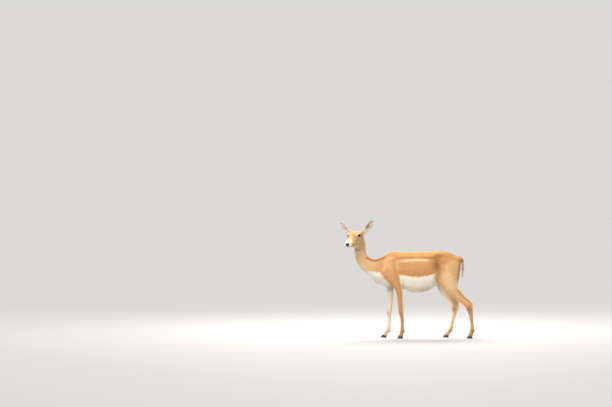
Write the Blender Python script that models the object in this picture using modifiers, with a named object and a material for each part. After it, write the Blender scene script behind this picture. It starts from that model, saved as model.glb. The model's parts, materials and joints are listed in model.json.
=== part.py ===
"""A blackbuck doe, life size, standing square with its head turned to its left.

Metres, +Z up. The body faces -X, its left side is at -Y, and the hooves stand on z = 0. The tables
below are in millimetres, in the body's own frame: x from the middle of the trunk, z from the floor.
"""

import math

import bmesh
import bpy
import numpy as np
from mathutils import Matrix, Vector

# Driving sizes, in metres
WITHERS_HEIGHT = 0.726
TABLE_HEIGHT = 726.0  # the height of the withers in the tables, in millimetres
MM = WITHERS_HEIGHT / TABLE_HEIGHT
GAP = 0.0003

# How finely the flesh is worked before its triangles are thinned out
VOXEL = 3.6 * MM
BODY_TRIANGLES = 4700
HEAD_TRIANGLES = 2300

# Sections of the neck and trunk, tail end first: dorsal x and z, ventral x and z, middle y, then
# the half widths near the back, at mid height and near the belly.
TRUNK = (
    (350, 664, 340, 608, 0, 14, 16, 16),
    (343, 672, 332, 566, 0, 36, 40, 38),
    (324, 681, 316, 500, 0, 58, 64, 54),
    (288, 697, 280, 458, 0, 73, 82, 64),
    (232, 720, 216, 442, 0, 80, 95, 77),
    (160, 731, 141, 434, 0, 77, 95, 88),
    (100, 725, 83, 400, 0, 75, 97, 103),
    (17, 722, 8, 379, 0, 79, 109, 118),
    (-75, 720, -75, 384, 0, 77, 110, 113),
    (-149, 721, -145, 412, 0, 66, 99, 94),
    (-226, 726, -216, 428, 0, 45, 87, 79),
    (-296, 690, -290, 432, 0, 45, 78, 64),
    (-350, 666, -365, 467, 0, 43, 65, 51),
    (-396, 668, -433, 535, 0, 40, 52, 42),
    (-432, 686, -494, 584, 0, 37, 46, 38),
    (-446, 720, -531, 647, 0, 35, 42, 36),
    (-450, 768, -544, 714, 0, 35, 41, 36),
    (-457, 822, -536, 762, -3, 36, 40, 36),
    (-465, 854, -534, 800, -8, 32, 36, 34),
    (-480, 882, -524, 838, -14, 24, 26, 26),
)

# Sections of each leg, top first: front x and z, back x and z, distance from the midline, then the
# half widths near the front, in the middle and near the back.
LEFT_FORE = (
    (-262, 664, -195, 664, 44, 10, 12, 10),
    (-295, 585, -166, 585, 60, 22, 31, 22),
    (-290, 519, -154, 519, 64, 24, 33, 24),
    (-242, 457, -147, 465, 69, 22, 29, 20),
    (-211, 411, -141, 415, 69, 20, 25, 17),
    (-193, 353, -139, 353, 67, 18, 21, 14),
    (-183, 286, -137, 286, 65, 16, 17, 12),
    (-178, 238, -135, 238, 63, 18, 19, 14),
    (-176, 218, -135, 216, 63, 18, 19, 14),
    (-167, 190, -132, 190, 62, 13, 14, 10),
    (-161, 145, -130, 145, 61, 11, 12, 9),
    (-160, 100, -130, 100, 60, 12, 12, 10),
    (-162, 76, -123, 70, 60, 14, 16, 13),
    (-167, 50, -133, 42, 60, 12, 14, 12),
    (-175, 28, -136, 21, 60, 15, 18, 15),
    (-180, 14, -138, 9, 60, 15, 18, 15),
)
RIGHT_FORE = (
    (-284, 664, -217, 664, 44, 10, 12, 10),
    (-318, 585, -190, 585, 60, 22, 31, 22),
    (-318, 519, -187, 519, 64, 24, 33, 24),
    (-298, 461, -203, 465, 69, 22, 29, 20),
    (-277, 411, -212, 411, 69, 20, 25, 17),
    (-268, 353, -217, 353, 67, 18, 21, 14),
    (-265, 286, -222, 286, 65, 16, 17, 12),
    (-269, 236, -228, 236, 63, 18, 19, 14),
    (-270, 216, -230, 214, 63, 18, 19, 14),
    (-267, 190, -235, 190, 62, 13, 14, 10),
    (-266, 145, -237, 145, 61, 11, 12, 9),
    (-269, 100, -240, 100, 60, 12, 12, 10),
    (-277, 74, -240, 67, 60, 14, 16, 13),
    (-290, 49, -257, 39, 60, 12, 14, 12),
    (-306, 28, -268, 20, 60, 15, 18, 15),
    (-312, 14, -272, 8, 60, 15, 18, 15),
)
LEFT_HIND = (
    (182, 690, 318, 664, 42, 14, 20, 14),
    (145, 602, 342, 606, 56, 34, 47, 34),
    (145, 527, 335, 522, 60, 34, 48, 34),
    (164, 457, 323, 455, 64, 30, 41, 28),
    (196, 407, 325, 419, 66, 26, 34, 20),
    (247, 357, 351, 390, 66, 20, 27, 14),
    (299, 319, 386, 350, 64, 16, 20, 10),
    (347, 289, 415, 323, 62, 15, 16, 9),
    (377, 260, 441, 300, 61, 16, 17, 12),
    (394, 228, 446, 258, 60, 17, 18, 13),
    (407, 195, 445, 207, 60, 13, 14, 11),
    (416, 145, 446, 145, 59, 11, 12, 9),
    (420, 104, 451, 102, 59, 12, 12, 10),
    (418, 77, 457, 71, 59, 14, 16, 13),
    (413, 51, 447, 42, 59, 12, 14, 12),
    (402, 28, 441, 20, 59, 15, 18, 15),
    (397, 14, 438, 8, 59, 15, 18, 15),
)
RIGHT_HIND = (
    (174, 690, 312, 664, 42, 14, 20, 14),
    (133, 602, 334, 602, 56, 34, 47, 34),
    (120, 527, 318, 519, 60, 34, 48, 34),
    (129, 457, 305, 452, 64, 30, 41, 28),
    (155, 398, 299, 415, 66, 26, 34, 20),
    (192, 349, 302, 378, 66, 20, 27, 14),
    (227, 311, 314, 340, 64, 16, 20, 10),
    (243, 290, 325, 316, 62, 15, 16, 9),
    (255, 265, 332, 290, 61, 16, 17, 12),
    (267, 232, 326, 245, 60, 17, 18, 13),
    (271, 195, 311, 197, 60, 13, 14, 11),
    (263, 154, 294, 148, 59, 11, 12, 9),
    (251, 108, 283, 99, 59, 12, 12, 10),
    (240, 81, 279, 69, 59, 14, 16, 13),
    (227, 53, 260, 40, 59, 12, 14, 12),
    (210, 29, 247, 19, 59, 15, 18, 15),
    (205, 15, 243, 8, 59, 15, 18, 15),
)

# The head has a frame of its own: x forward from the back of the skull, y to its left, z up.
# Each row: distance forward, top, bottom, then the half widths near the top, middle and bottom.
HEAD_AT = (-508, -14, 855)
HEAD_YAW, HEAD_PITCH = math.radians(64.5), math.radians(12.5)
SKULL = (
    (-14, 24, -34, 30, 28, 24),
    (6, 41, -64, 58, 46, 34),
    (30, 49, -84, 72, 51, 36),
    (56, 52, -90, 75, 50, 33),
    (80, 50, -88, 75, 48, 31),
    (100, 45, -82, 68, 44, 30),
    (122, 36, -74, 48, 39, 29),
    (146, 26, -65, 40, 34, 28),
    (170, 18, -58, 37, 33, 27),
    (192, 12, -53, 39, 34, 30),
    (208, 8, -51, 41, 36, 32),
    (220, 2, -47, 35, 32, 27),
    (229, -8, -39, 21, 20, 17),
    (232, -14, -31, 8, 8, 7),
)

EYE_AT, EYE_RADIUS = (96, 44.5, 27), 15.5
EYE_GAZE = (0.50, 0.86, 0.06)
ORBIT = (24.5, 20.0, 19.0)  # half the length, height and depth of the swelling round each eye
ORBIT_SUNK = 1.5
LID_OPENING = (14.8, 10.8, 12.5)  # half the length, height and depth of the opening between the lids
NOSTRIL_AT, NOSTRIL = (225, 12, -16), (7.0, 2.6, 7.5)
NOSTRIL_FACES, NOSTRIL_SLANT = (0.75, 0.62, 0.1), math.radians(-35)
GLAND_AT, GLAND, GLAND_PROUD = (122, 2), (1.8, 4.0, 8.5), 1.0
# The line of the mouth: its front, how far back the corners lie, its height, and its half thickness
MOUTH_FRONT, MOUTH_LENGTH, MOUTH_HEIGHT, MOUTH_HALF = 231, 58, -32, 2.0
MOUTH_DROP, MOUTH_PROUD, MOUTH_BLUNT = 4.0, 0.8, 3.2

EAR_AT, EAR_ROOT_IN, EAR_ROOT_SHARE = (18, 60, 24), 22.0, 0.26
EAR_TIPS = {"left": (15, 151, 137), "right": (-15, 166, 105)}
EAR_FACES = (0.95, 0.30, 0.0)
# Along the ear: share of its length, half width, half angle of the cup, share of the cup filled
EAR = (
    (0.0, 15, 88, 1.0),
    (0.18, 16.0, 88, 1.0),
    (0.30, 17.0, 88, 0.85),
    (0.40, 18.6, 86, 0.35),
    (0.50, 20.2, 80, 0.0),
    (0.60, 20.5, 72, 0.0),
    (0.72, 18.6, 64, 0.0),
    (0.84, 14, 56, 0.0),
    (0.92, 9.0, 52, 0.0),
    (0.97, 4.8, 48, 0.0),
    (1.0, 1.6, 46, 0.0),
)
EAR_THICKNESS, EAR_BOW = 3.2, 16.0

# Rounded swellings and hollows of muscle and bone: x, y, z, their spread along each axis, height.
# Those off the midline are on both sides.
RELIEF = (
    (152, 62, 716, 26, 28, 22, 11),
    (112, 88, 668, 38, 40, 32, -9),
    (196, 86, 684, 30, 30, 24, -4),
    (344, 36, 648, 20, 22, 20, 6),
    (-238, 58, 676, 20, 26, 40, 4),
    (-262, 80, 610, 20, 26, 46, 4),
    (-336, 60, 520, 30, 30, 34, 9),
    (-214, 88, 520, 40, 30, 46, 6),
    (-168, 74, 462, 16, 20, 18, 5),
    (-118, 96, 600, 26, 30, 60, -4),
    (-344, 0, 474, 40, 34, 34, 7),
    (-543, 0, 742, 16, 16, 22, 4),
    (-330, 52, 600, 26, 24, 36, -5),
)
# The same for the head, in its own frame: brow, cheek bone, jaw muscle, nostril wing, lip and chin
HEAD_RELIEF = (
    (88, 27, 45, 24, 14, 10, 3.5),
    (64, 56, 2, 34, 12, 8, 2.2),
    (48, 46, -50, 24, 16, 22, 2.0),
    (128, 34, -30, 26, 12, 12, -1.6),
    (222, 18, -10, 9, 6, 8, 1.8),
    (210, 28, -27, 17, 10, 5, 1.7),
    (206, 0, -45, 15, 14, 6, 1.5),
)

# Where the back of the skull runs into the neck, and how far and how often it is smoothed
NAPE_AT, NAPE_SPREAD, NAPE_ROUNDS = (-478, 8, 846), 62, 60
# Rounds of filling creases before and after the relief, each with its share where the form is round
FIRST_FILL, LAST_FILL = (26, 0.12), (3, 0.5)

# Where the flesh is parted: each box is a thin slab, at x, y, z, half as long and wide as given,
# and turned about the y axis.
LEG_CUT_Z, KNEE_CUT_Z, HOCK_CUT_Z = 393, 213, 241
# Level cuts through the legs: middle x, height, half length and half width
LEG_CUTS = (
    (-228, LEG_CUT_Z, 92, 140),
    (238, LEG_CUT_Z, 136, 140),
    (-205, KNEE_CUT_Z, 90, 110),
    (350, HOCK_CUT_Z, 120, 110),
)
NECK_CUT = (-413, 597, 90, -72.4)
THROAT_CUT = (-500, 760, 120, -19.0)
# A place inside each piece that the cuts leave
INSIDE_HEAD_AND_REST = {"head": (-540, -60, 830), "rest": (60, 0, 380)}
INSIDE_PARTS = {
    "torso": (0, 0, 560),
    "neck": (-470, 0, 670),
    "foreleg_left_upper": (-170, -65, 300),
    "foreleg_right_upper": (-245, 65, 300),
    "foreleg_left_lower": (-155, -60, 110),
    "foreleg_right_lower": (-270, 60, 110),
    "hindleg_left_upper": (330, -64, 315),
    "hindleg_right_upper": (240, 64, 315),
    "hindleg_left_lower": (427, -60, 125),
    "hindleg_right_lower": (270, 60, 125),
}

# Hooves: heel and toe x, then where the coronet stands above the toe and above the heel
HOOF_HALF_WIDTH, HOOF_SPLIT = 8.2, 1.6
CORONET_FRONT, CORONET_BACK = 29, 15
FEET = {
    "front_left": (-140, -189, -60),
    "front_right": (-274, -323, 60),
    "hind_left": (437, 388, -59),
    "hind_right": (243, 194, 59),
}
TRIM_HALF = 60.0  # half the side of the box that cuts a leg off at the coronet
HOOF_LEAN, HOOF_HEEL_IN, HOOF_FLARE, HOOF_POINT, TOE_TURN = 15, 2, 0.10, 0.32, 1.3
# Behind each foot's fetlock: x and z of the skin there
FETLOCKS = {
    "front_left": (-130, 64),
    "front_right": (-246, 61),
    "hind_left": (451, 65),
    "hind_right": (272, 62),
}
DEWCLAW, DEWCLAW_OFF, DEWCLAW_FACES = (5.0, 4.2, 9.0), (-2, 8, -6), (0.55, 0.35, -0.75)

# The tail's sections, root first, as for the trunk
TAIL = (
    (318, 692, 304, 652, 0, 12, 14, 12),
    (342, 685, 326, 648, 0, 12, 15, 12),
    (359, 667, 342, 641, 0, 12, 15, 11),
    (366, 636, 348, 628, 0, 12, 15, 11),
    (367, 598, 350, 597, 0, 11, 14, 10),
    (365, 564, 351, 564, 0, 9, 11, 8),
    (361, 540, 353, 541, 0, 4, 5, 4),
)
TAIL_LOCKS, TAIL_SEED = 11, 7
LOCK_TURN, LOCK_START, LOCK_SPREAD = 2.4, 0.28, 0.5  # turn between locks, and where along the tail
LOCK_LENGTH, LOCK_VARY, LOCK_HALF_WIDTH, LOCK_HALF_DEPTH, LOCK_BOW = 44, 16, 6.2, 2.6, 3.0
TAIL_TIP_Z = 512

COLOURS = {
    "fawn": (0.62, 0.34, 0.14, 1.0),
    "cream": (0.80, 0.70, 0.56, 1.0),
    "horn": (0.05, 0.04, 0.035, 1.0),
    "eye": (0.02, 0.012, 0.01, 1.0),
}
SMOOTH_ANGLE = math.radians(50)


def start_scene():
    """Clears the scene and makes the collections for the parts and for the helpers."""
    for old in list(bpy.data.objects):
        bpy.data.objects.remove(old)
    parts = bpy.data.collections.new("blackbuck_doe")
    helpers = bpy.data.collections.new("cutters")
    for group in (parts, helpers):
        bpy.context.scene.collection.children.link(group)
    return parts, helpers


def material(name, roughness):
    made = bpy.data.materials.new(name)
    made.use_nodes = True
    shader = made.node_tree.nodes["Principled BSDF"]
    shader.inputs["Base Color"].default_value = COLOURS[name]
    shader.inputs["Roughness"].default_value = roughness
    shader.inputs["Metallic"].default_value = 0.0
    return made


def resample(rows, count, path_columns=4):
    """A cubic through every row of a table, read at even steps along the path of its middles."""
    rows = np.asarray(rows, float)
    half = path_columns // 2
    middle = (rows[:, :half] + rows[:, half:path_columns]) / 2
    steps = np.linalg.norm(np.diff(middle, axis=0), axis=1)
    way = np.concatenate([[0.0], np.cumsum(steps)])
    slope = np.gradient(rows, way, axis=0)
    at = np.linspace(0.0, way[-1], count)
    i = np.clip(np.searchsorted(way, at, side="right") - 1, 0, len(way) - 2)
    span = (way[i + 1] - way[i])[:, None]
    t = (at - way[i])[:, None] / span
    return (
        (2 * t**3 - 3 * t**2 + 1) * rows[i]
        + (t**3 - 2 * t**2 + t) * span * slope[i]
        + (3 * t**2 - 2 * t**3) * rows[i + 1]
        + (t**3 - t**2) * span * slope[i + 1]
    )


def rings_of(rows, count, around):
    """Rings across a path. A ring runs from its first outline point over one side to its second,
    with a half width that changes smoothly between the three that its row gives."""
    rows = resample(rows, count)
    angle = np.linspace(0.0, 2 * math.pi, around, endpoint=False)
    cos, sin = np.cos(angle), np.sin(angle)
    middle, reach = (rows[:, 0:2] + rows[:, 2:4]) / 2, (rows[:, 0:2] - rows[:, 2:4]) / 2
    near, mid, far = rows[:, 5:6], rows[:, 6:7], rows[:, 7:8]
    mean = (near + far) / 2
    width = mean + (near - far) / math.sqrt(2) * cos + (mean - mid) * np.cos(2 * angle)
    x = middle[:, 0:1] + reach[:, 0:1] * cos
    z = middle[:, 1:2] + reach[:, 1:2] * cos
    return np.stack([x, rows[:, 4:5] + width * sin, z], axis=2)


def loft_mesh(name, rings):
    """A closed mesh through rings of equal count: quads between rings and a face at each end."""
    count, around, _ = rings.shape
    mesh = bpy.data.meshes.new(name)
    low = np.arange(count - 1)[:, None] * around
    j = np.arange(around)[None, :]
    nxt = (j + 1) % around
    sides = np.stack([low + j, low + nxt, low + around + nxt, low + around + j], axis=2)
    faces = sides.reshape(-1, 4).tolist()
    faces.append(list(range(around))[::-1])
    faces.append([(count - 1) * around + k for k in range(around)])
    mesh.from_pydata(rings.reshape(-1, 3).tolist(), [], faces)
    shape = bmesh.new()
    shape.from_mesh(mesh)
    bmesh.ops.recalc_face_normals(shape, faces=shape.faces)
    shape.to_mesh(mesh)
    shape.free()
    return mesh


def place(mesh, collection, name):
    made = bpy.data.objects.new(name, mesh)
    collection.objects.link(made)
    return made


def leg_rows(rows, side):
    return [(*row[:4], side * row[4], *row[5:]) for row in rows]


def head_matrix():
    """The head's frame in the body's: turned to its left, nose a little down."""
    turn = Matrix.Rotation(math.pi + HEAD_YAW, 4, "Z")
    nod = Matrix.Rotation(HEAD_PITCH, 4, "Y")
    return Matrix.Translation(HEAD_AT) @ turn @ nod


def evaluated(obj):
    """The object's mesh with its modifiers applied."""
    graph = bpy.context.evaluated_depsgraph_get()
    mesh = bpy.data.meshes.new_from_object(obj.evaluated_get(graph))
    obj.modifiers.clear()
    obj.data = mesh
    return obj


def boolean(obj, others, operation, solver="MANIFOLD"):
    """Joins or cuts obj with a collection of closed meshes, applied, and removes those meshes."""
    group = bpy.data.collections.new("operands")
    bpy.context.scene.collection.children.link(group)
    for other in others:
        for home in list(other.users_collection):
            home.objects.unlink(other)
        group.objects.link(other)
    step = obj.modifiers.new(operation.lower(), "BOOLEAN")
    step.operation = operation
    step.operand_type = "COLLECTION"
    step.collection = group
    step.solver = solver
    bpy.context.view_layer.update()
    evaluated(obj)
    for other in others:
        bpy.data.objects.remove(other)
    bpy.data.collections.remove(group)
    return obj


def pieces_of(obj):
    """The closed surfaces of a mesh as bmeshes, the largest volume first."""
    shape = bmesh.new()
    shape.from_mesh(obj.data)
    shape.verts.ensure_lookup_table()
    seen, found = set(), []
    for start in shape.verts:
        if start.index in seen:
            continue
        seen.add(start.index)
        island, front = [start], [start]
        while front:
            here = front.pop()
            for edge in here.link_edges:
                other = edge.other_vert(here)
                if other.index not in seen:
                    seen.add(other.index)
                    island.append(other)
                    front.append(other)
        keep = {v.index for v in island}
        part = shape.copy()
        part.verts.ensure_lookup_table()
        drop = [v for v in part.verts if v.index not in keep]
        bmesh.ops.delete(part, geom=drop, context="VERTS")
        found.append(part)
    shape.free()
    return sorted(found, key=lambda part: -abs(part.calc_volume()))


def keep_largest(obj):
    parts = pieces_of(obj)
    parts[0].to_mesh(obj.data)
    for part in parts:
        part.free()
    return obj


def split_into(obj, collection, names_at):
    """Parts a cut mesh into named objects: each name takes the piece whose box is nearest."""
    parts = pieces_of(obj)[: len(names_at)]
    centres = []
    for part in parts:
        co = np.array([v.co for v in part.verts])
        centres.append((co.min(0) + co.max(0)) / 2)
    made = {}
    for name, at in names_at.items():
        nearest = min(range(len(parts)), key=lambda k: np.linalg.norm(centres[k] - at))
        mesh = bpy.data.meshes.new(name)
        parts[nearest].to_mesh(mesh)
        made[name] = place(mesh, collection, name)
    for part in parts:
        part.free()
    bpy.data.objects.remove(obj)
    return made


def slab(helpers, x, y, z, half_x, half_y, turn=0.0):
    """A thin box that parts the flesh, as thick as the gap between two nodes."""
    bpy.ops.mesh.primitive_cube_add(size=2.0, location=(x, y, z), rotation=(0, math.radians(turn), 0))
    box = bpy.context.active_object
    box.scale = (half_x, half_y, GAP / MM / 2)
    bpy.ops.object.transform_apply(location=True, rotation=True, scale=True)
    box.name = "slab"
    box.hide_render = True
    box.display_type = "WIRE"
    for home in list(box.users_collection):
        home.objects.unlink(box)
    helpers.objects.link(box)
    return box


def ball_mesh(radii, place_matrix, segments=24, rings=14):
    """A sphere primitive stretched to three radii and set by a matrix."""
    shape = bmesh.new()
    bmesh.ops.create_uvsphere(shape, u_segments=segments, v_segments=rings, radius=1.0)
    mesh = bpy.data.meshes.new("ball")
    shape.to_mesh(mesh)
    shape.free()
    mesh.transform(place_matrix @ Matrix.Diagonal((*radii, 1.0)))
    return mesh


def ball(collection, radii, place_matrix, segments=24, rings=14):
    return place(ball_mesh(radii, place_matrix, segments, rings), collection, "ball")


def neighbour_pull(mesh):
    """A function that gives, for any places of a mesh's vertices, the way from each vertex to the
    mean of its neighbours."""
    ends = np.empty(len(mesh.edges) * 2, np.int32)
    mesh.edges.foreach_get("vertices", ends)
    ends = ends.reshape(-1, 2)
    meet = np.maximum(np.bincount(ends.ravel(), minlength=len(mesh.vertices)), 1)[:, None]

    def pull(points):
        total = np.zeros_like(points)
        for axis in range(3):
            forth = np.bincount(ends[:, 0], points[ends[:, 1], axis], len(points))
            back = np.bincount(ends[:, 1], points[ends[:, 0], axis], len(points))
            total[:, axis] = forth + back
        return total / meet - points

    return pull


def read_points(mesh):
    points = np.empty(len(mesh.vertices) * 3, np.float32)
    mesh.vertices.foreach_get("co", points)
    return points.reshape(-1, 3).astype(float)


def read_normals(mesh):
    normals = np.empty(len(mesh.vertices) * 3, np.float32)
    mesh.vertex_normals.foreach_get("vector", normals)
    return normals.reshape(-1, 3).astype(float)


def write_points(mesh, points):
    mesh.vertices.foreach_set("co", points.astype(np.float32).ravel())
    mesh.update()


def fill_creases(mesh, rounds, convex_share):
    """Moves each vertex towards the mean of its neighbours: fully where the surface is hollow, so
    that a crease between two forms fills as skin does, and by a small share where it is round."""
    pull = neighbour_pull(mesh)
    for _ in range(rounds):
        points, normals = read_points(mesh), read_normals(mesh)
        way = pull(points)
        hollow = (way * normals).sum(1) > 0
        write_points(mesh, points + way * np.where(hollow, 0.6, 0.6 * convex_share)[:, None])


def blend_nape(mesh):
    """Smooths the surface round the joint of head and neck, where two forms meet at an angle."""
    pull = neighbour_pull(mesh)
    points = read_points(mesh)
    away = (points - NAPE_AT) / NAPE_SPREAD
    share = np.exp(-((away**2).sum(1) ** 2))[:, None]
    for _ in range(NAPE_ROUNDS):
        points = points + 0.5 * share * pull(points)
    write_points(mesh, points)


def raise_relief(mesh, table, frame):
    """Lifts the surface along its normals by a bell curve round each swelling of a table, whose
    places are read in a frame."""
    points, normals = read_points(mesh), read_normals(mesh)
    back = np.array(frame.inverted())
    spots = points @ back[:3, :3].T + back[:3, 3]
    lift = np.zeros(len(points))
    for x, y, z, rx, ry, rz, height in table:
        for side in (1, -1) if y else (1,):
            away = (spots - (x, side * y, z)) / (rx, ry, rz)
            lift += height * np.exp(-(away**2).sum(1))
    write_points(mesh, points + normals * lift[:, None])


def thin_out(obj, triangles):
    """Collapses short and flat edges until about this many triangles are left."""
    obj.data.calc_loop_triangles()
    step = obj.modifiers.new("thin", "DECIMATE")
    step.ratio = min(1.0, triangles / len(obj.data.loop_triangles))
    step.use_collapse_triangulate = True
    return evaluated(obj)


def inflated(obj, helpers, by):
    """A copy grown along its normals, used to cut what rests on it."""
    mesh = obj.data.copy()
    write_points(mesh, read_points(mesh) + read_normals(mesh) * by)
    return place(mesh, helpers, "seat")


def seat(piece, base, helpers):
    """Cuts the root of a piece to the surface that it grows from, a gap clear of it."""
    boolean(piece, [inflated(base, helpers, 1.25 * GAP / MM)], "DIFFERENCE")
    return keep_largest(piece)


def whole_flesh(helpers):
    """The trunk, neck, head and legs fused, with their creases filled and the relief raised."""
    forms = [loft_mesh("trunk", rings_of(TRUNK, 90, 40))]
    for rows, side in ((LEFT_FORE, -1), (RIGHT_FORE, 1), (LEFT_HIND, -1), (RIGHT_HIND, 1)):
        forms.append(loft_mesh("leg", rings_of(leg_rows(rows, side), 90, 28)))
    forms.append(skull_mesh())
    for side in (1, -1):
        forms.append(ball_mesh(ORBIT, eye_matrix(side) @ Matrix.Translation((0, 0, -ORBIT_SUNK))))
    shape = bmesh.new()
    for mesh in forms:
        shape.from_mesh(mesh)
    mesh = bpy.data.meshes.new("flesh")
    shape.to_mesh(mesh)
    shape.free()
    flesh = place(mesh, helpers, "flesh")
    fuse = flesh.modifiers.new("fuse", "REMESH")
    fuse.mode = "VOXEL"
    fuse.voxel_size = VOXEL / MM
    evaluated(flesh)
    fill_creases(flesh.data, *FIRST_FILL)
    blend_nape(flesh.data)
    raise_relief(flesh.data, RELIEF, Matrix())
    raise_relief(flesh.data, HEAD_RELIEF, head_matrix())
    fill_creases(flesh.data, *LAST_FILL)
    return flesh


def skull_mesh():
    rows = [(s, top, s, low, 0, up, mid, down) for s, top, low, up, mid, down in SKULL]
    mesh = loft_mesh("skull", rings_of(rows, 60, 40))
    mesh.transform(head_matrix())
    return mesh


def cut_flesh(flesh, parts, helpers):
    """Parts the fused flesh into head, neck, torso and the legs' upper and lower lengths."""
    x, z, half, turn = THROAT_CUT
    boolean(flesh, [slab(helpers, x, 0, z, half, half, turn)], "DIFFERENCE")
    upper = split_into(flesh, helpers, INSIDE_HEAD_AND_REST)
    head = thin_out(upper["head"], HEAD_TRIANGLES)
    rest = thin_out(upper["rest"], BODY_TRIANGLES)
    x, z, half, turn = NECK_CUT
    cuts = [slab(helpers, x, 0, z, half, half, turn)]
    for x, z, half_x, half_y in LEG_CUTS:
        cuts.append(slab(helpers, x, 0, z, half_x, half_y))
    boolean(rest, cuts, "DIFFERENCE")
    made = split_into(rest, parts, INSIDE_PARTS)
    head.name = head.data.name = "head"
    helpers.objects.unlink(head)
    parts.objects.link(head)
    made["head"] = head
    return made


def unit(v):
    return Vector(v).normalized()


def frame_matrix(forward, up, at):
    """A matrix whose z axis is forward and whose y axis is nearest to up."""
    z = unit(forward)
    x = unit(Vector(up).cross(z))
    y = z.cross(x)
    turn = Matrix((x, y, z)).transposed().to_4x4()
    return Matrix.Translation(at) @ turn


def eye_matrix(side):
    x, y, z = EYE_AT
    gaze = (EYE_GAZE[0], side * EYE_GAZE[1], EYE_GAZE[2])
    return head_matrix() @ frame_matrix(gaze, (0.22, 0, 1), (x, side * y, z))


def tube(helpers, points, radius):
    """A closed tube along a list of points, made a mesh so that it can cut."""
    line = bpy.data.curves.new("tube", "CURVE")
    line.dimensions = "3D"
    line.bevel_depth = radius
    line.bevel_resolution = 1
    line.use_fill_caps = True
    spline = line.splines.new("POLY")
    spline.points.add(len(points) - 1)
    for spot, at in zip(spline.points, points):
        spot.co = (*at, 1.0)
    guide = place(line, helpers, "tube")
    bpy.context.view_layer.update()
    graph = bpy.context.evaluated_depsgraph_get()
    mesh = bpy.data.meshes.new_from_object(guide.evaluated_get(graph))
    bpy.data.objects.remove(guide)
    shape = bmesh.new()
    shape.from_mesh(mesh)
    bmesh.ops.remove_doubles(shape, verts=shape.verts, dist=0.05)
    bmesh.ops.recalc_face_normals(shape, faces=shape.faces)
    shape.to_mesh(mesh)
    shape.free()
    return place(mesh, helpers, "tube")


def half_width_at(forward, height):
    """Half the skull's width at a distance forward and a height, read from its sections."""
    rows = np.array(SKULL, float)
    top, low, near, mid, far = (np.interp(forward, rows[:, 0], rows[:, k]) for k in range(1, 6))
    cos = np.clip((2 * height - top - low) / (top - low), -1, 1)
    mean = (near + far) / 2
    width = mean + (near - far) / math.sqrt(2) * cos + (mean - mid) * (2 * cos**2 - 1)
    return float(width * np.sqrt(1 - cos**2))


def face_features(head, helpers):
    """Cuts the eye sockets, the opening between the lids, the glands, the nostrils and the mouth."""
    sockets, openings, cuts = [], [], [mouth(helpers)]
    for side in (1, -1):
        at = eye_matrix(side)
        sockets.append(ball(helpers, [EYE_RADIUS + GAP / MM] * 3, at, 18, 12))
        ahead = at @ Matrix.Translation((0, 0, EYE_RADIUS))
        openings.append(ball(helpers, LID_OPENING, ahead, 18, 10))
        x, y, z = NOSTRIL_AT
        fx, fy, fz = NOSTRIL_FACES
        nostril = head_matrix() @ frame_matrix((fx, side * fy, fz), (0, 0, 1), (x, side * y, z))
        slant = Matrix.Rotation(side * NOSTRIL_SLANT, 4, "Z")
        cuts.append(ball(helpers, NOSTRIL, nostril @ slant, 14, 8))
        x, z = GLAND_AT
        at_gland = (x, side * (half_width_at(x, z) + GLAND_PROUD), z)
        gland = head_matrix() @ frame_matrix((0.1, side, 0.1), (1, 0, 0.2), at_gland)
        cuts.append(ball(helpers, (GLAND[2], GLAND[1], GLAND[0]), gland, 12, 8))
    boolean(head, sockets, "DIFFERENCE")
    boolean(head, openings, "DIFFERENCE")
    boolean(head, cuts, "DIFFERENCE")
    return keep_largest(head)


def mouth(helpers):
    """The tube that cuts the line between the lips, from one corner round the front to the other."""
    line = []
    for share in np.linspace(-1, 1, 31):
        back = MOUTH_FRONT - MOUTH_LENGTH * abs(share) ** 2.2
        height = MOUTH_HEIGHT - MOUTH_DROP * share**4
        width = (half_width_at(back, height) + MOUTH_PROUD) * min(1.0, MOUTH_BLUNT * abs(share))
        line.append(head_matrix() @ Vector((back, math.copysign(width, share), height)))
    return tube(helpers, line, MOUTH_HALF)


def eyeball(parts, side, name):
    made = ball(parts, [EYE_RADIUS] * 3, eye_matrix(side), 18, 12)
    made.name = made.data.name = name
    return made


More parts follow.
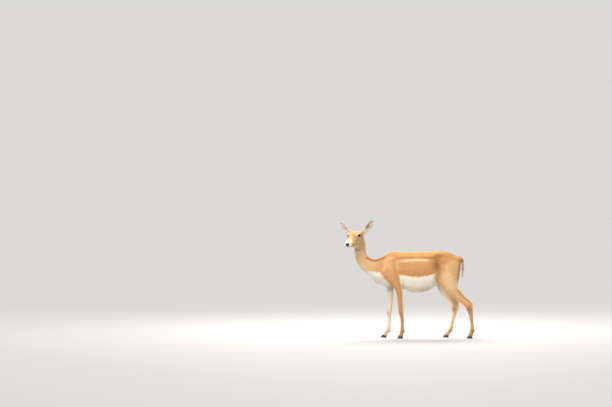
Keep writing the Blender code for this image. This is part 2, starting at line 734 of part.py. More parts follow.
def ear_mesh(word, along=18, across=9):
    """An ear: rings of an outer arc and an inner one. The arc's angle narrows from half a tube at
    the root to a leaf. Near the root the cup is filled and the ear bends in, so that it stands on a
    stalk inside the head."""
    side = 1 if word == "left" else -1
    rows = np.array(EAR, float)
    share = np.linspace(0, 1, along) ** 0.9
    half, angle, fill = (np.interp(share, rows[:, 0], rows[:, k])[:, None] for k in (1, 2, 3))
    angle = np.radians(angle)
    x, y, z = EAR_AT
    root = Vector((x, side * y, z))
    x, y, z = EAR_TIPS[word]
    reach = Vector((x, side * y, z)) - root
    way = reach.normalized()
    faces = Vector((EAR_FACES[0], side * EAR_FACES[1], EAR_FACES[2]))
    faces = (faces - way * faces.dot(way)).normalized()
    cross = way.cross(faces)
    spread = np.linspace(-1, 1, across)[None, :]
    radius = half / np.sin(angle)
    edge = np.sqrt(np.clip(1 - spread**4, 0.05, 1))
    thick = np.minimum(EAR_THICKNESS, 0.4 * half + 0.8) * edge / 2
    sag = EAR_BOW * share[:, None] * (1 - share[:, None])
    outer_b = (radius + thick) * np.sin(spread * angle)
    outer_n = -(radius + thick) * np.cos(spread * angle)
    inner_b = (radius - thick) * np.sin(spread * angle)
    inner_n = -(radius - thick) * np.cos(spread * angle)
    inner_n = inner_n + fill * (inner_n[:, :1] - inner_n)
    across_way = np.concatenate([outer_b, inner_b[:, ::-1]], axis=1)
    facing = np.concatenate([outer_n, inner_n[:, ::-1]], axis=1) + radius - sag
    inset = -side * EAR_ROOT_IN * np.clip(1 - share / EAR_ROOT_SHARE, 0, 1) ** 2
    points = (
        np.array(root)
        + (share * reach.length)[:, None, None] * np.array(way)
        + inset[:, None, None] * np.array([0.0, 1.0, 0.0])
        + across_way[:, :, None] * np.array(cross)
        + facing[:, :, None] * np.array(faces)
    )
    mesh = loft_mesh("ear", points)
    mesh.transform(head_matrix())
    return mesh


def hoof(parts, foot, side, name):
    """One claw of a foot: a flat sole, a pointed toe that leans back, and walls that flare to the
    ground."""
    heel, toe, y = FEET[foot]
    outward = side * (1 if y > 0 else -1)
    middle = y + outward * (HOOF_SPLIT + HOOF_HALF_WIDTH)
    share = np.linspace(0, 2 * math.pi, 16, endpoint=False)
    cos, sin = np.cos(share), np.sin(share)
    point = np.clip(-cos, 0, 1) ** 2
    rings = []
    for level in np.linspace(0, 1, 4):
        front, back = toe + HOOF_LEAN * level, heel - HOOF_HEEL_IN * level
        x = (front + back) / 2 + (back - front) / 2 * cos
        width = HOOF_HALF_WIDTH * (1 + HOOF_FLARE * (1 - level)) * (1 - HOOF_POINT * point)
        slope = np.clip((x - toe) / (heel - toe), 0, 1)
        rim = CORONET_FRONT + (CORONET_BACK - CORONET_FRONT) * slope - GAP / MM
        across = middle - TOE_TURN * outward * point + width * sin
        rings.append(np.stack([x, across, rim * level], axis=1))
    return place(loft_mesh(name, np.array(rings)), parts, name)


def trim_leg(leg, foot, helpers):
    """Cuts a lower leg off along the coronet, so that it stands on its hooves."""
    heel, toe, y = FEET[foot]
    tilt = math.atan2(CORONET_FRONT - CORONET_BACK, heel - toe)
    bpy.ops.mesh.primitive_cube_add(size=2 * TRIM_HALF)
    box = bpy.context.active_object
    box.hide_render = True
    rim = Vector((toe, y, CORONET_FRONT))
    box.data.transform(
        Matrix.Translation(rim) @ Matrix.Rotation(tilt, 4, "Y") @ Matrix.Translation((0, 0, -TRIM_HALF))
    )
    for home in list(box.users_collection):
        home.objects.unlink(box)
    helpers.objects.link(box)
    boolean(leg, [box], "DIFFERENCE")
    return keep_largest(leg)


def dewclaw(parts, helpers, foot, side, leg, name):
    """A small blunt claw behind the fetlock, set into the skin."""
    x, z = FETLOCKS[foot]
    y = FEET[foot][2]
    outward = side * (1 if y > 0 else -1)
    back, out, down = DEWCLAW_OFF
    fx, fy, fz = DEWCLAW_FACES
    at = frame_matrix((fx, outward * fy, fz), (0, 0, 1), (x + back, y + outward * out, z + down))
    made = ball(parts, DEWCLAW, at, 10, 6)
    made.name = made.data.name = name
    return seat(made, leg, helpers)


def tail(parts, helpers, torso):
    """A short flat tail whose lower half is covered by tapered locks that hang past its tip."""
    made = place(loft_mesh("tail", rings_of(TAIL, 18, 12)), parts, "tail")
    locks = []
    draw = np.random.default_rng(TAIL_SEED)
    for k in range(TAIL_LOCKS):
        share = k / (TAIL_LOCKS - 1)
        turn = LOCK_TURN * k
        x, z, y, wide, deep = tail_spot(LOCK_START + LOCK_SPREAD * share)
        out = Vector((math.cos(turn), math.sin(turn), 0))
        root = Vector((x + 0.4 * deep * out.x, y + 0.55 * wide * out.y, z))
        length = LOCK_LENGTH + LOCK_VARY * draw.random()
        end = Vector((x + 0.7 * deep * out.x - 2, y + 0.9 * wide * out.y, z - length))
        end.z = max(end.z, TAIL_TIP_Z)
        locks.append(lock(helpers, root, end, out))
    boolean(made, locks, "UNION")
    keep_largest(made)
    return seat(made, torso, helpers)


def tail_spot(share):
    """Middle x, z and y, half width and half depth of the tail at a share of its length."""
    rows = resample(TAIL, 50)
    row = rows[int(share * 49)]
    x, z = (row[0] + row[2]) / 2, (row[1] + row[3]) / 2
    return x, z, row[4], row[6], math.hypot(row[0] - row[2], row[1] - row[3]) / 2


def lock(helpers, root, end, out):
    """A flat tapered lock of hair from root to end, bowed outwards, of six-sided rings."""
    way = (end - root).normalized()
    across = way.cross(out).normalized()
    over = across.cross(way).normalized()
    rings = []
    for share in (0.0, 0.35, 0.75, 1.0):
        taper = max(0.12, (1 - share**1.6)) * min(1.0, 0.55 + 2 * share)
        middle = root.lerp(end, share) + over * (LOCK_BOW * math.sin(math.pi * share))
        ring = []
        for k in range(6):
            turn = k * math.pi / 3
            spot = middle + across * (LOCK_HALF_WIDTH * taper * math.cos(turn))
            ring.append(spot + over * (LOCK_HALF_DEPTH * taper * math.sin(turn)))
        rings.append(ring)
    return place(loft_mesh("lock", np.array(rings)), helpers, "lock")


def build():
    parts, helpers = start_scene()
    skin, pale = material("fawn", 0.85), material("cream", 0.85)
    horn, wet = material("horn", 0.45), material("eye", 0.1)
    made = cut_flesh(whole_flesh(helpers), parts, helpers)
    head = face_features(made["head"], helpers)
    for side, word in ((1, "left"), (-1, "right")):
        eyeball(parts, side, f"eye_{word}").data.materials.append(wet)
        ear = place(ear_mesh(word), parts, f"ear_{word}")
        ear.data.name = ear.name
        seat(ear, head, helpers).data.materials.append(pale)
    for foot in FEET:
        word = foot.replace("front", "foreleg").replace("hind", "hindleg")
        leg = trim_leg(made[f"{word}_lower"], foot, helpers)
        for side, where in ((1, "outer"), (-1, "inner")):
            hoof(parts, foot, side, f"hoof_{foot}_{where}").data.materials.append(horn)
            claw = dewclaw(parts, helpers, foot, side, leg, f"dewclaw_{foot}_{where}")
            claw.data.materials.append(horn)
    tail(parts, helpers, made["torso"]).data.materials.append(skin)
    for node in made.values():
        node.data.materials.append(skin)
    finish(parts)


def finish(parts):
    """Puts the middle of the whole box over the origin, and goes from the tables' millimetres to
    metres."""
    low = np.min([read_points(node.data).min(0) for node in parts.objects], axis=0)
    high = np.max([read_points(node.data).max(0) for node in parts.objects], axis=0)
    shift = Matrix.Translation((-(low[0] + high[0]) / 2, -(low[1] + high[1]) / 2, 0))
    for node in parts.objects:
        node.data.transform(Matrix.Scale(MM, 4) @ shift)
        node.data.update()
        node.data.shade_smooth()
        node.data.set_sharp_from_angle(angle=SMOOTH_ANGLE)


build()
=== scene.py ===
"""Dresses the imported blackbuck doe: one skin with its folds and lids, a short coat of fine tufts
that follows the lie of the hair, eyes, lashes, hooves and dewclaws, on a plain pale stage.

Shapes are worked out in millimetres in the body's own frame, as the tables give them, and are put
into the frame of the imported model, in metres, as each piece is finished.
"""

import json
import math

import bmesh
import bpy
import numpy as np
from bpy.props import FloatProperty, FloatVectorProperty, IntProperty, PointerProperty
from mathutils import Matrix, Vector

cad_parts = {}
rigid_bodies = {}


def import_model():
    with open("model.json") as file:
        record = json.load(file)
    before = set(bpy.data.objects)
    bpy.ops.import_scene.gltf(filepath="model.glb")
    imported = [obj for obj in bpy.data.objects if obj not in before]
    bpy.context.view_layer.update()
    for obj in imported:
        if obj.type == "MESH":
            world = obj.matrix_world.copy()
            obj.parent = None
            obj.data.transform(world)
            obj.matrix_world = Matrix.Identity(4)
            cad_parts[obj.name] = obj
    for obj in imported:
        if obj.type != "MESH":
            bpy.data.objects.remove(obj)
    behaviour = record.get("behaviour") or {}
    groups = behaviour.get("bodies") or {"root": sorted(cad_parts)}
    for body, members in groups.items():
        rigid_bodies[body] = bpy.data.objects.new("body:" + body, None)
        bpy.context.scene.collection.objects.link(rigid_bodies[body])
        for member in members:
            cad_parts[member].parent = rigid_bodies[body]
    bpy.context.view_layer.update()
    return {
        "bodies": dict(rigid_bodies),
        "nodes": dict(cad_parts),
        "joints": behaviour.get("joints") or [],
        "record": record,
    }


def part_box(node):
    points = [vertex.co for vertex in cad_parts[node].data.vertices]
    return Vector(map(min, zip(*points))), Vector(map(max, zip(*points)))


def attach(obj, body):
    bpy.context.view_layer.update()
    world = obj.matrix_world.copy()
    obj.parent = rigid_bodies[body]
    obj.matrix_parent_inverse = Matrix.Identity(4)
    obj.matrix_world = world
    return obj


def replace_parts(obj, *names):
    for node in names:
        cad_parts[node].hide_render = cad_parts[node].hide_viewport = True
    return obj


bl_info = {
    "name": "Blackbuck doe",
    "version": (1, 0, 0),
    "blender": (4, 5, 0),
    "location": "View3D > Sidebar > Doe",
    "description": "Builds the skin, coat, eyes, hooves and stage of a life-size blackbuck doe",
    "category": "Object",
}

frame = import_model()

WITHERS_HEIGHT = 0.726
MM = WITHERS_HEIGHT / 726.0
SIDES = {"left": 1, "right": -1}
SEED = 11

# Sections of the neck and trunk, tail end first: dorsal x and z, ventral x and z, middle y, then
# the half widths near the back, at mid height and near the belly.
TRUNK = (
    (350, 664, 340, 608, 0, 14, 16, 16),
    (343, 672, 332, 566, 0, 36, 40, 38),
    (324, 681, 316, 500, 0, 58, 64, 54),
    (288, 697, 280, 458, 0, 73, 82, 64),
    (232, 720, 216, 442, 0, 80, 95, 77),
    (160, 731, 141, 434, 0, 77, 95, 88),
    (100, 725, 83, 400, 0, 75, 97, 103),
    (17, 722, 8, 379, 0, 79, 109, 118),
    (-75, 720, -75, 384, 0, 77, 110, 113),
    (-149, 721, -145, 412, 0, 66, 99, 94),
    (-226, 726, -216, 428, 0, 45, 87, 79),
    (-296, 690, -290, 432, 0, 45, 78, 64),
    (-350, 666, -365, 467, 0, 43, 65, 51),
    (-396, 668, -433, 535, 0, 40, 52, 42),
    (-432, 686, -494, 584, 0, 37, 46, 38),
    (-446, 720, -531, 647, 0, 35, 42, 36),
    (-450, 768, -544, 714, 0, 35, 41, 36),
    (-457, 822, -536, 762, -3, 36, 40, 36),
    (-465, 854, -534, 800, -8, 32, 36, 34),
    (-480, 882, -524, 838, -14, 24, 26, 26),
)

# The legs' sections, top first. The two of a pair share their widths: the distance from the
# midline, then the half widths near the front, in the middle and near the back. Each leg has lines
# of its own: front x and z, back x and z.
FORE_WIDTHS = (
    (44, 10, 12, 10), (60, 22, 31, 22), (64, 24, 33, 24), (69, 22, 29, 20), (69, 20, 25, 17),
    (67, 18, 21, 14), (65, 16, 17, 12), (63, 18, 19, 14), (63, 18, 19, 14), (62, 13, 14, 10),
    (61, 11, 12, 9), (60, 12, 12, 10), (60, 14, 16, 13), (60, 12, 14, 12), (60, 15, 18, 15),
    (60, 15, 18, 15),
)
LEFT_FORE = (
    (-262, 664, -195, 664), (-295, 585, -166, 585), (-290, 519, -154, 519), (-242, 457, -147, 465),
    (-211, 411, -141, 415), (-193, 353, -139, 353), (-183, 286, -137, 286), (-178, 238, -135, 238),
    (-176, 218, -135, 216), (-167, 190, -132, 190), (-161, 145, -130, 145), (-160, 100, -130, 100),
    (-162, 76, -123, 70), (-167, 50, -133, 42), (-175, 28, -136, 21), (-180, 14, -138, 9),
)
RIGHT_FORE = (
    (-284, 664, -217, 664), (-318, 585, -190, 585), (-318, 519, -187, 519), (-298, 461, -203, 465),
    (-277, 411, -212, 411), (-268, 353, -217, 353), (-265, 286, -222, 286), (-269, 236, -228, 236),
    (-270, 216, -230, 214), (-267, 190, -235, 190), (-266, 145, -237, 145), (-269, 100, -240, 100),
    (-277, 74, -240, 67), (-290, 49, -257, 39), (-306, 28, -268, 20), (-312, 14, -272, 8),
)
HIND_WIDTHS = (
    (42, 14, 20, 14), (56, 34, 47, 34), (60, 34, 48, 34), (64, 30, 41, 28), (66, 26, 34, 20),
    (66, 20, 27, 14), (64, 16, 20, 10), (62, 15, 16, 9), (61, 16, 17, 12), (60, 17, 18, 13),
    (60, 13, 14, 11), (59, 11, 12, 9), (59, 12, 12, 10), (59, 14, 16, 13), (59, 12, 14, 12),
    (59, 15, 18, 15), (59, 15, 18, 15),
)
LEFT_HIND = (
    (182, 690, 318, 664), (145, 602, 342, 606), (145, 527, 335, 522), (164, 457, 323, 455),
    (196, 407, 325, 419), (247, 357, 351, 390), (299, 319, 386, 350), (347, 289, 415, 323),
    (377, 260, 441, 300), (394, 228, 446, 258), (407, 195, 445, 207), (416, 145, 446, 145),
    (420, 104, 451, 102), (418, 77, 457, 71), (413, 51, 447, 42), (402, 28, 441, 20), (397, 14, 438, 8),
)
RIGHT_HIND = (
    (174, 690, 312, 664), (133, 602, 334, 602), (120, 527, 318, 519), (129, 457, 305, 452),
    (155, 398, 299, 415), (192, 349, 302, 378), (227, 311, 314, 340), (243, 290, 325, 316),
    (255, 265, 332, 290), (267, 232, 326, 245), (271, 195, 311, 197), (263, 154, 294, 148),
    (251, 108, 283, 99), (240, 81, 279, 69), (227, 53, 260, 40), (210, 29, 247, 19), (205, 15, 243, 8),
)
# The rows of each leg and its side of the midline, the forelegs first
LEGS = tuple(
    ([(*line, *wide) for line, wide in zip(lines, widths)], side)
    for lines, widths, side in (
        (LEFT_FORE, FORE_WIDTHS, -1),
        (RIGHT_FORE, FORE_WIDTHS, 1),
        (LEFT_HIND, HIND_WIDTHS, -1),
        (RIGHT_HIND, HIND_WIDTHS, 1),
    )
)

# The head has a frame of its own: x forward from the back of the skull, y to its left, z up.
# Each row: distance forward, top, bottom, then the half widths near the top, middle and bottom.
HEAD_AT = (-508, -14, 855)
HEAD_YAW, HEAD_PITCH = math.radians(64.5), math.radians(12.5)
SKULL = (
    (-14, 24, -34, 30, 28, 24),
    (6, 41, -64, 58, 46, 34),
    (30, 49, -84, 72, 51, 36),
    (56, 52, -90, 75, 50, 33),
    (80, 50, -88, 75, 48, 31),
    (100, 45, -82, 68, 44, 30),
    (122, 36, -74, 48, 39, 29),
    (146, 26, -65, 40, 34, 28),
    (170, 18, -58, 37, 33, 27),
    (192, 12, -53, 39, 34, 30),
    (208, 8, -51, 41, 36, 32),
    (220, 2, -47, 35, 32, 27),
    (229, -8, -39, 21, 20, 17),
    (232, -14, -31, 8, 8, 7),
)
EYE_AT, EYE_RADIUS = (96, 44.5, 27), 15.5
EYE_GAZE = (0.50, 0.86, 0.06)
# Half the gap round the eye, then how far the cornea stands out and the angle over which it does
EYE_CLEAR, CORNEA_RISE, CORNEA_SPREAD = 0.05, 0.9, 0.62
LID_PROUD, LASHES_ABOVE, LASHES_BELOW = 0.7, 46, 20
LASH_WIDTH, LASH_THICKNESS, LASH_TONE = 0.42, 0.34, (0.012, 0.009, 0.007)
ORBIT = (24.5, 20.0, 19.0)
ORBIT_SUNK = 1.5
LID_OPENING = (14.8, 10.8, 12.5)
NOSTRIL_AT, NOSTRIL = (225, 12, -16), (7.4, 2.6, 8.5)
NOSTRIL_FACES, NOSTRIL_SLANT = (0.75, 0.62, 0.1), math.radians(-35)
GLAND_AT, GLAND = (122, 2), (1.8, 4.0, 8.5)
GLAND_PROUD = 1.0
MOUTH_FRONT, MOUTH_LENGTH, MOUTH_HEIGHT = 231, 58, -32
MOUTH_DROP, MOUTH_PROUD, MOUTH_BLUNT, MOUTH_ROUND = 4.0, 0.2, 3.2, 2.2

# The ear's root, how far its base is drawn in and over which share of it, its tips and its facing
EAR_AT, EAR_ROOT_IN, EAR_ROOT_SHARE = (18, 60, 24), 22.0, 0.26
EAR_TIPS = {"left": (15, 151, 137), "right": (-15, 166, 105)}
EAR_FACES = (0.95, 0.30, 0.0)
# Along the ear: share of its length, half width, half angle of the cup, share of the cup filled
EAR = (
    (0.0, 15, 88, 1.0),
    (0.18, 16.0, 88, 1.0),
    (0.30, 17.0, 88, 0.85),
    (0.40, 18.6, 86, 0.35),
    (0.50, 20.2, 80, 0.0),
    (0.60, 20.5, 72, 0.0),
    (0.72, 18.6, 64, 0.0),
    (0.84, 14, 56, 0.0),
    (0.92, 9.0, 52, 0.0),
    (0.97, 4.8, 48, 0.0),
    (1.0, 1.6, 46, 0.0),
)
EAR_THICKNESS, EAR_BOW = 2.6, 16.0

# Rounded swellings and hollows of muscle and bone: x, y, z, their spread along each axis, height.
# Those off the midline are on both sides.
RELIEF = (
    (152, 62, 716, 26, 28, 22, 11),
    (112, 88, 668, 38, 40, 32, -9),
    (196, 86, 684, 30, 30, 24, -4),
    (344, 36, 648, 20, 22, 20, 6),
    (-238, 58, 676, 20, 26, 40, 4),
    (-262, 80, 610, 20, 26, 46, 4),
    (-336, 60, 520, 30, 30, 34, 9),
    (-214, 88, 520, 40, 30, 46, 6),
    (-168, 74, 462, 16, 20, 18, 5),
    (-118, 96, 600, 26, 30, 60, -4),
    (-344, 0, 474, 40, 34, 34, 7),
    (-543, 0, 742, 16, 16, 22, 4),
    (-330, 52, 600, 26, 24, 36, -5),
)
# The same for the head, in its own frame
HEAD_RELIEF = (
    (88, 27, 45, 24, 14, 10, 3.5),
    (64, 56, 2, 34, 12, 8, 2.2),
    (48, 46, -50, 24, 16, 22, 2.0),
    (128, 34, -30, 26, 12, 12, -1.6),
    (222, 18, -10, 9, 6, 8, 1.8),
    (210, 28, -27, 17, 10, 5, 1.7),
    (206, 0, -45, 15, 14, 6, 1.5),
)

# Lines of muscle and bone on the trunk, seen from the side: the line, its half width, its height
BODY_LINES = (
    (((-236, 694), (-262, 630), (-292, 556)), 13, 2.2),
    (((-326, 640), (-304, 560), (-288, 494)), 14, -2.6),
    (((-204, 668), (-206, 600), (-186, 530)), 13, -1.8),
    (((-250, 520), (-214, 486), (-172, 470)), 10, -1.5),
    (((150, 700), (200, 694), (262, 674)), 10, 1.6),
    (((164, 676), (230, 664), (300, 648)), 11, -1.6),
    (((128, 548), (150, 500), (186, 440)), 9, 1.6),
    (((286, 600), (300, 520), (322, 450)), 12, -1.8),
    (((-176, 650), (-60, 660), (60, 658)), 10, -1.2),
)
# Finer forms of the head: temple, brow ridge, groove of the lip, bridge and corners of the nose
FACE_RELIEF = (
    (34, 50, 30, 16, 12, 12, -1.6),
    (106, 40, 44, 16, 9, 6, 1.0),
    (233, 0, -24, 7, 1.8, 8, -1.4),
    (150, 0, 24, 34, 7, 9, 1.0),
    (150, 24, -2, 34, 10, 9, 0.9),
    (176, 36, -34, 10, 8, 8, 0.8),
)

# How the forms are fused: the voxel, and the rounds of filling with the share that round places move
VOXEL, FIRST_FILL, LAST_FILL = 3.6, (26, 0.12), (3, 0.5)
NAPE_AT, NAPE_SPREAD, NAPE_ROUNDS = (-478, 8, 846), 62, 60
EAR_JOIN, EAR_JOIN_SPREAD = 0.10, (24, 24, 24)
TAIL_JOIN_AT, TAIL_JOIN_SPREAD, JOIN_ROUNDS = (338, 0, 668), (26, 26, 26), 60
SPINE_SECTIONS = 110
THROAT_AT, THROAT_TURN = (-500, 760), math.radians(-19)

# Hooves: half a claw's width, half the cleft, and the coronet's height above the toe and the heel
HOOF_HALF_WIDTH, HOOF_SPLIT = 8.2, 1.6
CORONET_FRONT, CORONET_BACK = 29, 15
# How far the front and the heel lean in, the flare at the sole, and the toe's point and its turn
HOOF_LEAN, HEEL_LEAN, HOOF_FLARE, TOE_POINT, TOE_TURN = 15, 2, 0.10, 0.32, 1.32
# The box that trims a foot: half its size, and how far its top lies under the coronet
TRIM_HALF, TRIM_TUCK = 60.0, 1.6
# Each foot: x of its heel and its toe, and y of its middle
FEET = {
    "front_left": (-140, -189, -60),
    "front_right": (-274, -323, 60),
    "hind_left": (437, 388, -59),
    "hind_right": (243, 194, 59),
}

# The tail's sections, root first, as for the trunk, and the share of their size that the skin has
TAIL = (
    (318, 692, 304, 652, 0, 12, 14, 12),
    (342, 685, 326, 648, 0, 12, 15, 12),
    (359, 667, 342, 641, 0, 12, 15, 11),
    (366, 636, 348, 628, 0, 12, 15, 11),
    (367, 598, 350, 597, 0, 11, 14, 10),
    (365, 564, 351, 564, 0, 9, 11, 8),
    (361, 540, 353, 541, 0, 4, 5, 4),
)
TAIL_CORE = 0.80
# How far the hair of the tail's tip hangs, and the heights between which that ends
TAIL_HANG, TAIL_HANG_HEIGHTS = 30, (552, 588)
# Tufts: how deep they start, their thickness by width, how far they turn aside, and the tone at the root
# with its gain to the tip, a painted shade that darkens each tuft towards its root, under the hair that lies
# over it
TUFT_ROOT, TUFT_THICKNESS, TUFT_STRAY, LONG_STRAY = 0.30, 0.17, 0.13, 0.12
TUFT_ROOT_SHADE, TUFT_TIP_GAIN = 0.92, 0.12

# Lines of the markings, and of painted shade down the hollow before the hip and under the jaw, as x and z
# seen from the side
GOLD_EDGE = ((-470, 860), (-452, 760), (-440, 700), (-400, 662), (-330, 662), (-260, 694), (-205, 692),
             (-170, 682), (100, 678), (150, 692), (230, 690), (310, 668), (345, 640))
STRIPE = ((-182, 641), (-124, 648), (-40, 654), (40, 652), (96, 646))
RUST_LINE = ((-200, 668), (-120, 671), (0, 672), (80, 671), (128, 676))
NAPE_LINE = ((-436, 668), (-404, 650), (-366, 646), (-322, 662), (-292, 678))
BELLY_EDGE = ((-186, 534), (-141, 530), (-83, 521), (-17, 513), (41, 521), (91, 536), (118, 544),
              (141, 502), (174, 452), (216, 394))
CHEST_EDGE = ((-440, 560), (-398, 556), (-333, 547), (-306, 526), (-262, 466), (-226, 410))
RUMP_STREAK = ((328, 668), (330, 628), (321, 556), (315, 486))
BUTTOCK_EDGE = ((339, 566), (335, 520), (328, 480), (322, 446))
SCAPULA_LINE = ((-282, 640), (-306, 562))
# The line of painted shade down the hollow before the hip
HOLLOW_SHADE_LINE = ((150, 696), (142, 652), (130, 610), (120, 556))
CROUP_LINE = ((172, 690), (240, 682), (304, 664))
# The line of a painted shadow under the jaw, across the top of the neck
JAW_SHADOW_LINE = ((-548, 741), (-500, 737))


def length_property(name, description, default):
    return FloatProperty(name=name, description=description, default=default, unit="LENGTH")


def colour_property(name, description, default):
    return FloatVectorProperty(name=name, description=description, default=default, subtype="COLOR")


class DoeSizes(bpy.types.PropertyGroup):
    """The sizes of the skin and coat."""

    coat_depth: length_property(
        "Coat depth", "How far the skin lies inside the outline of the coat on the trunk", 0.0017
    )
    tuft_length: length_property("Tuft length", "Length of a tuft on the trunk", 0.0125)
    tuft_width: length_property("Tuft width", "Width of a tuft on the trunk at its widest", 0.00115)
    tufts: IntProperty(name="Tufts", description="How many tufts the short coat has", default=108000)
    lash_length: length_property("Lash length", "Length of the longest upper eyelash", 0.0065)
    skin_triangles: IntProperty(
        name="Skin triangles", description="About how many triangles the skin keeps", default=180000
    )


class DoeColours(bpy.types.PropertyGroup):
    """The colours of the coat and of the bare skin."""

    tan: colour_property("Tan", "Flank, shoulder and the outside of the legs", (0.580, 0.285, 0.105))
    pale: colour_property("Pale tan", "Thigh, neck and face", (0.660, 0.420, 0.195))
    gold: colour_property("Gold", "Back, croup, nape and crown", (0.660, 0.355, 0.108))
    rust: colour_property("Rust", "Thin reddish lines and the front of the legs", (0.390, 0.148, 0.038))
    # Brown is also laid as painted shade in the hollow before the hip and as a painted shadow under the jaw
    brown: colour_property("Brown", "Hollow before the hip, rump and face marks", (0.225, 0.096, 0.035))
    cream: colour_property(
        "Cream", "Side stripe, inner legs and inside of the ears", (0.800, 0.610, 0.360)
    )
    white: colour_property(
        "White", "Belly, chest, muzzle, chin and rings round the eyes", (0.800, 0.745, 0.640)
    )
    nose: colour_property("Nose", "Bare skin of the nose, lips and lid rims", (0.018, 0.014, 0.012))
    horn: colour_property("Horn", "Hooves and dewclaws", (0.030, 0.023, 0.018))
    iris: colour_property("Iris", "Iris of the eyes", (0.022, 0.010, 0.005))


class StageLook(bpy.types.PropertyGroup):
    """The floor, the lights and the camera."""

    floor: colour_property("Floor", "Colour of the floor", (0.40, 0.395, 0.385))
    sun: FloatProperty(name="Key light", description="Strength of the broad key light", default=3.1)
    sky: FloatProperty(
        name="Fill light", description="Strength of the even light from all round", default=0.80
    )
    rim: FloatProperty(
        name="Rim light", description="Power of the soft light above and behind", default=120.0, unit="POWER"
    )
    camera_distance: length_property("Camera distance", "Distance from the camera to the doe", 40.0)


def angles(count):
    """Even angles round a whole turn."""
    return np.linspace(0, 2 * math.pi, count, endpoint=False)


def middles_of(rows):
    """The middle of each section of a table, as x and z."""
    rows = np.asarray(rows, float)
    return (rows[:, 0:2] + rows[:, 2:4]) / 2


def resample(rows, count):
    """A cubic through every row of a table, read at even steps along the path of its middles."""
    rows, middle = np.asarray(rows, float), middles_of(rows)
    steps = np.linalg.norm(np.diff(middle, axis=0), axis=1)
    way = np.concatenate([[0.0], np.cumsum(steps)])
    slope = np.gradient(rows, way, axis=0)
    at = np.linspace(0.0, way[-1], count)
    i = np.clip(np.searchsorted(way, at, side="right") - 1, 0, len(way) - 2)
    span = (way[i + 1] - way[i])[:, None]
    t = (at - way[i])[:, None] / span
    return (
        (2 * t**3 - 3 * t**2 + 1) * rows[i]
        + (t**3 - 2 * t**2 + t) * span * slope[i]
        + (3 * t**2 - 2 * t**3) * rows[i + 1]
        + (t**3 - t**2) * span * slope[i + 1]
    )


def rings_of(rows, count, around):
    """Rings across a path. At an angle a round the ring, the point is the middle plus reach cos a
    along the section and w sin a across it, where w passes smoothly through the three widths."""
    rows = resample(rows, count)
    angle = angles(around)
    cos, sin = np.cos(angle), np.sin(angle)
    middle, reach = middles_of(rows), (rows[:, 0:2] - rows[:, 2:4]) / 2
    near, mid, far = rows[:, 5:6], rows[:, 6:7], rows[:, 7:8]
    mean = (near + far) / 2
    width = mean + (near - far) / math.sqrt(2) * cos + (mean - mid) * np.cos(2 * angle)
    x = middle[:, 0:1] + reach[:, 0:1] * cos
    z = middle[:, 1:2] + reach[:, 1:2] * cos
    return np.stack([x, rows[:, 4:5] + width * sin, z], axis=2)


def grid_faces(rows, around, closed=False):
    """Quads between rings of equal count, and from the last ring to the first where it is closed."""
    i = np.arange(rows if closed else rows - 1)[:, None]
    j = np.arange(around)[None, :]
    after, over = (i + 1) % rows, (j + 1) % around
    corners = [i * around + j, after * around + j, after * around + over, i * around + over]
    return np.stack(corners, axis=2).reshape(-1, 4)


def mesh_of(name, points, faces):
    """A new mesh of points, in an array of any shape, and faces."""
    mesh = bpy.data.meshes.new(name)
    mesh.from_pydata(points.reshape(-1, 3).tolist(), [], faces)
    return mesh


def loft_mesh(name, rings):
    """A closed mesh through rings of equal count: quads between rings and a face at each end."""
    count, around, _ = rings.shape
    faces = grid_faces(count, around)[:, [0, 3, 2, 1]].tolist()
    faces.append(list(range(around))[::-1])
    faces.append([(count - 1) * around + k for k in range(around)])
    mesh = mesh_of(name, rings, faces)
    face_outwards(mesh)
    return mesh


def face_outwards(mesh):
    """Turns every face outwards."""
    shape = bmesh.new()
    shape.from_mesh(mesh)
    bmesh.ops.recalc_face_normals(shape, faces=shape.faces)
    shape.to_mesh(mesh)
    shape.free()


def place(mesh, name):
    made = bpy.data.objects.new(name, mesh)
    bpy.context.scene.collection.objects.link(made)
    return made


def frame_matrix(forward, up, at):
    """A matrix whose z axis is forward and whose y axis is nearest to up."""
    z = Vector(forward).normalized()
    x = Vector(up).cross(z).normalized()
    y = z.cross(x)
    return Matrix.Translation(at) @ Matrix((x, y, z)).transposed().to_4x4()


def head_matrix():
    """The head's frame in the body's: turned to its left, nose a little down."""
    turn = Matrix.Rotation(math.pi + HEAD_YAW, 4, "Z")
    nod = Matrix.Rotation(HEAD_PITCH, 4, "Y")
    return Matrix.Translation(HEAD_AT) @ turn @ nod


def eye_matrix(side):
    """An eye's frame in the body's: z along the gaze, y up, and x across."""
    x, y, z = EYE_AT
    gaze = (EYE_GAZE[0], side * EYE_GAZE[1], EYE_GAZE[2])
    return head_matrix() @ frame_matrix(gaze, (0.22, 0, 1), (x, side * y, z))


def body_shift():
    """Where the body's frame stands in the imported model's, in metres, read from the left eye."""
    low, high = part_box("eye_left")
    return np.array((low + high) / 2 - eye_matrix(1).translation * MM)


SHIFT = body_shift()


def to_world(points):
    """Places of the body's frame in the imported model's, in metres."""
    return points * MM + SHIFT


def to_body(points):
    """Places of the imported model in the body's frame, in millimetres."""
    return (points - SHIFT) / MM


def through(matrix, points):
    """Points moved by a matrix."""
    m = np.array(matrix)
    return points @ m[:3, :3].T + m[:3, 3]


def by_eye(side, points):
    """Points in an eye's own frame, and how far they are from its gaze in lid openings."""
    at = through(eye_matrix(side).inverted(), points)
    return at, np.hypot(at[:, 0] / LID_OPENING[0], at[:, 1] / LID_OPENING[1])


def unit_rows(vectors):
    return vectors / np.maximum(np.linalg.norm(vectors, axis=-1, keepdims=True), 1e-9)


def soft(value, low, high):
    """A smooth step from 0 at low to 1 at high."""
    t = np.clip((value - low) / (high - low), 0.0, 1.0)
    return t * t * (3 - 2 * t)


def fade(value, low, high):
    """A smooth step from 1 at low to 0 at high."""
    return 1 - soft(value, low, high)


def hump(value, middle, spread):
    """A bell curve of one number: e to the minus the squared distance from a middle, in spreads."""
    return np.exp(-(((value - middle) / spread) ** 2))


def mixed(first, second, share):
    """The first value turned into the second by a share."""
    return first * (1 - share) + second * share


